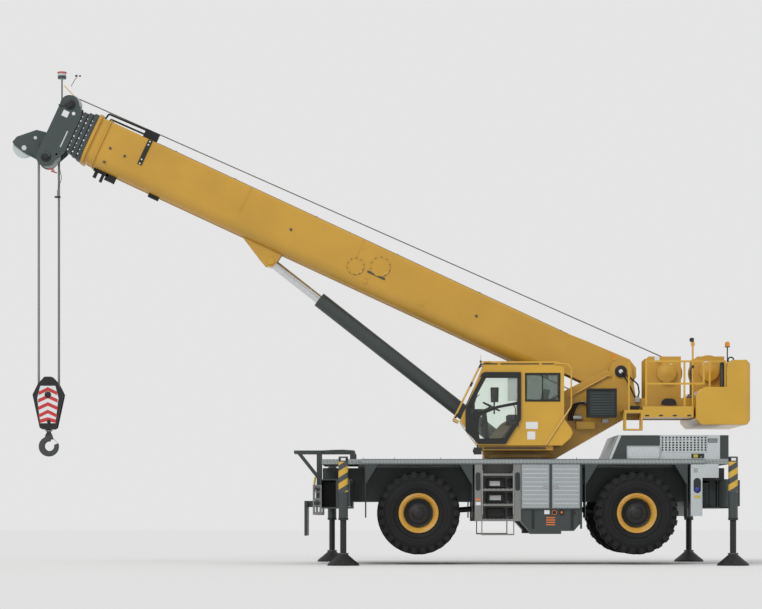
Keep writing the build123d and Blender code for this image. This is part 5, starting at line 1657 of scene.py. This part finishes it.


# Platform and tail: kick plate notches and an arched opening as painted shade, winch covers, mast with its
# lamp, beacon and counterweight trim
tail = {
    "platformFace": -1.350,
    # Left ends of the dark marks that paint the shade in the kick plate's notches
    "kickNotchShade": (5.237, 5.507, 5.777, 6.057),
    "kickHeight": (2.893, 2.923),
    # Outline of an arched opening, drawn as a dark plate of painted shade
    "opening": (
        (5.64, 3.150), (5.94, 3.150), (5.935, 3.215), (5.90, 3.262), (5.85, 3.278), (5.73, 3.278),
        (5.68, 3.262), (5.645, 3.215),
    ),
    "openingFace": -0.502,
    "gratingBars": 24,
    "winchFace": 0.496,
    "winchLabels": ((5.505, 5.605, 4.030, 4.110), (5.675, 5.855, 3.930, 3.970), (6.450, 6.640, 3.930, 4.020)),
    "motor": (
        (0.0, 0.040), (0.050, 0.040), (0.064, 0.034), (0.110, 0.030), (0.150, 0.016), (0.190, 0.012),
        (0.190, 0.0), (0.0, 0.0),
    ),
    "motorBolts": 12,
    "mast": (6.167, 3.090, 4.345),
    "beacon": (6.935, -0.60),
    "counterRear": 7.291,
}


def dressPlatform():
    y = tail["platformFace"]
    # Dark sheets in the black plastic finish: painted shade in the kick plate's notches and in the arched
    # opening
    with pieceOf("platformNotchShade", "blackPlastic", "upper") as bm:
        low, high = tail["kickHeight"]
        for x in tail["kickNotchShade"]:
            addBlock(bm, (x, y - 0.003, low), (x + 0.075, y + 0.001, high))
        addPlate(bm, tail["opening"], tail["openingFace"], tail["openingFace"] + 0.012)
    with pieceOf("platformGrating", "steel", "upper") as bm:
        for number in range(tail["gratingBars"]):
            x = 5.205 + number * 0.041
            addBlock(bm, (x, y + 0.03, 3.0865), (x + 0.014, -0.46, 3.0925))
    x, low, high = tail["mast"]
    with pieceOf("platformLamp", "blackPlastic", "upper", 0.003) as bm:
        addBlock(bm, (x - 0.022, -1.340, low + 0.74), (x + 0.022, -1.300, low + 0.80))
        addBlock(bm, (x - 0.050, -1.345, high), (x + 0.022, -1.290, high + 0.080))
        addRod(bm, (x - 0.050, -1.318, high + 0.040), (x - 0.062, -1.318, high + 0.040), 0.024)
    with pieceOf("lampMast", "cabYellow", "upper", 0.001) as bm:
        addBlock(bm, (x - 0.038, -1.347, high - 0.075), (x + 0.038, -1.333, high - 0.008))
        addRod(bm, (x, -1.32, low), (x, -1.32, high), 0.019)


def dressWinches(name, side):
    face = tail["winchFace"]
    with pieceOf(f"winchLabels_{name}", "whiteLabel", "upper", 0.001) as bm:
        addSideBlocks(bm, side, face - 0.002, face + 0.004, *tail["winchLabels"])
    with pieceOf(f"winchMotors_{name}", "boomYellow", "upper") as bm:
        for x, z in ropeLook["drums"]:
            addTurned(bm, (x, side * (face - 0.004), z), (0, side, 0), tail["motor"], 48)
            addBoltRing(bm, (x, side * face, z), side, 0.170, tail["motorBolts"], 0.010, 0, 0.018)


def dressTail():
    x, y = tail["beacon"]
    with pieceOf("tailPosts", "carrierGrey", "upper") as bm:
        addRod(bm, (x, y, 3.985), (x, y, 4.290), 0.013)
        addRod(bm, (x, y, 4.285), (x, y, 4.300), 0.052, segments=28)
        addRod(bm, (6.757, -1.20, 3.430), (6.757, -1.20, 3.935), 0.048, segments=28)
        addRod(bm, (6.757, -1.20, 3.935), (6.757, -1.20, 3.955), 0.030, segments=20)
    with pieceOf("tailBeacon", "amberLens", "upper") as bm:
        addTurned(bm, (x, y, 4.300), (0, 0, 1), beaconLens(0.028, 0.050), 28)
    rear = tail["counterRear"]
    with pieceOf("rearReflectors", "redPaint", "upper") as bm:
        for y in (-1.02, 1.02):
            addBlock(bm, (rear - 0.004, y - 0.14, 3.02), (rear - 0.0005, y + 0.14, 3.16))
    with pieceOf("counterweightEyes", "blackPaint", "upper") as bm:
        for y in (-1.02, 1.02):
            addRing(bm, (6.95, y, 4.01), (0, 1, 0), 0.055, 0.014, 28)
        for y in (-0.72, 0.72):
            addBlock(bm, (rear - 0.006, y - 0.004, 2.83), (rear - 0.0005, y + 0.004, 3.90))


dressGuard()
dressCabShell()
dressDoor()
for name, side in sides.items():
    dressFootPin(name, side)
    dressWinches(name, side)
dressUpper()
dressCooler()
dressPlatform()
dressTail()
print("upperworks dressed")
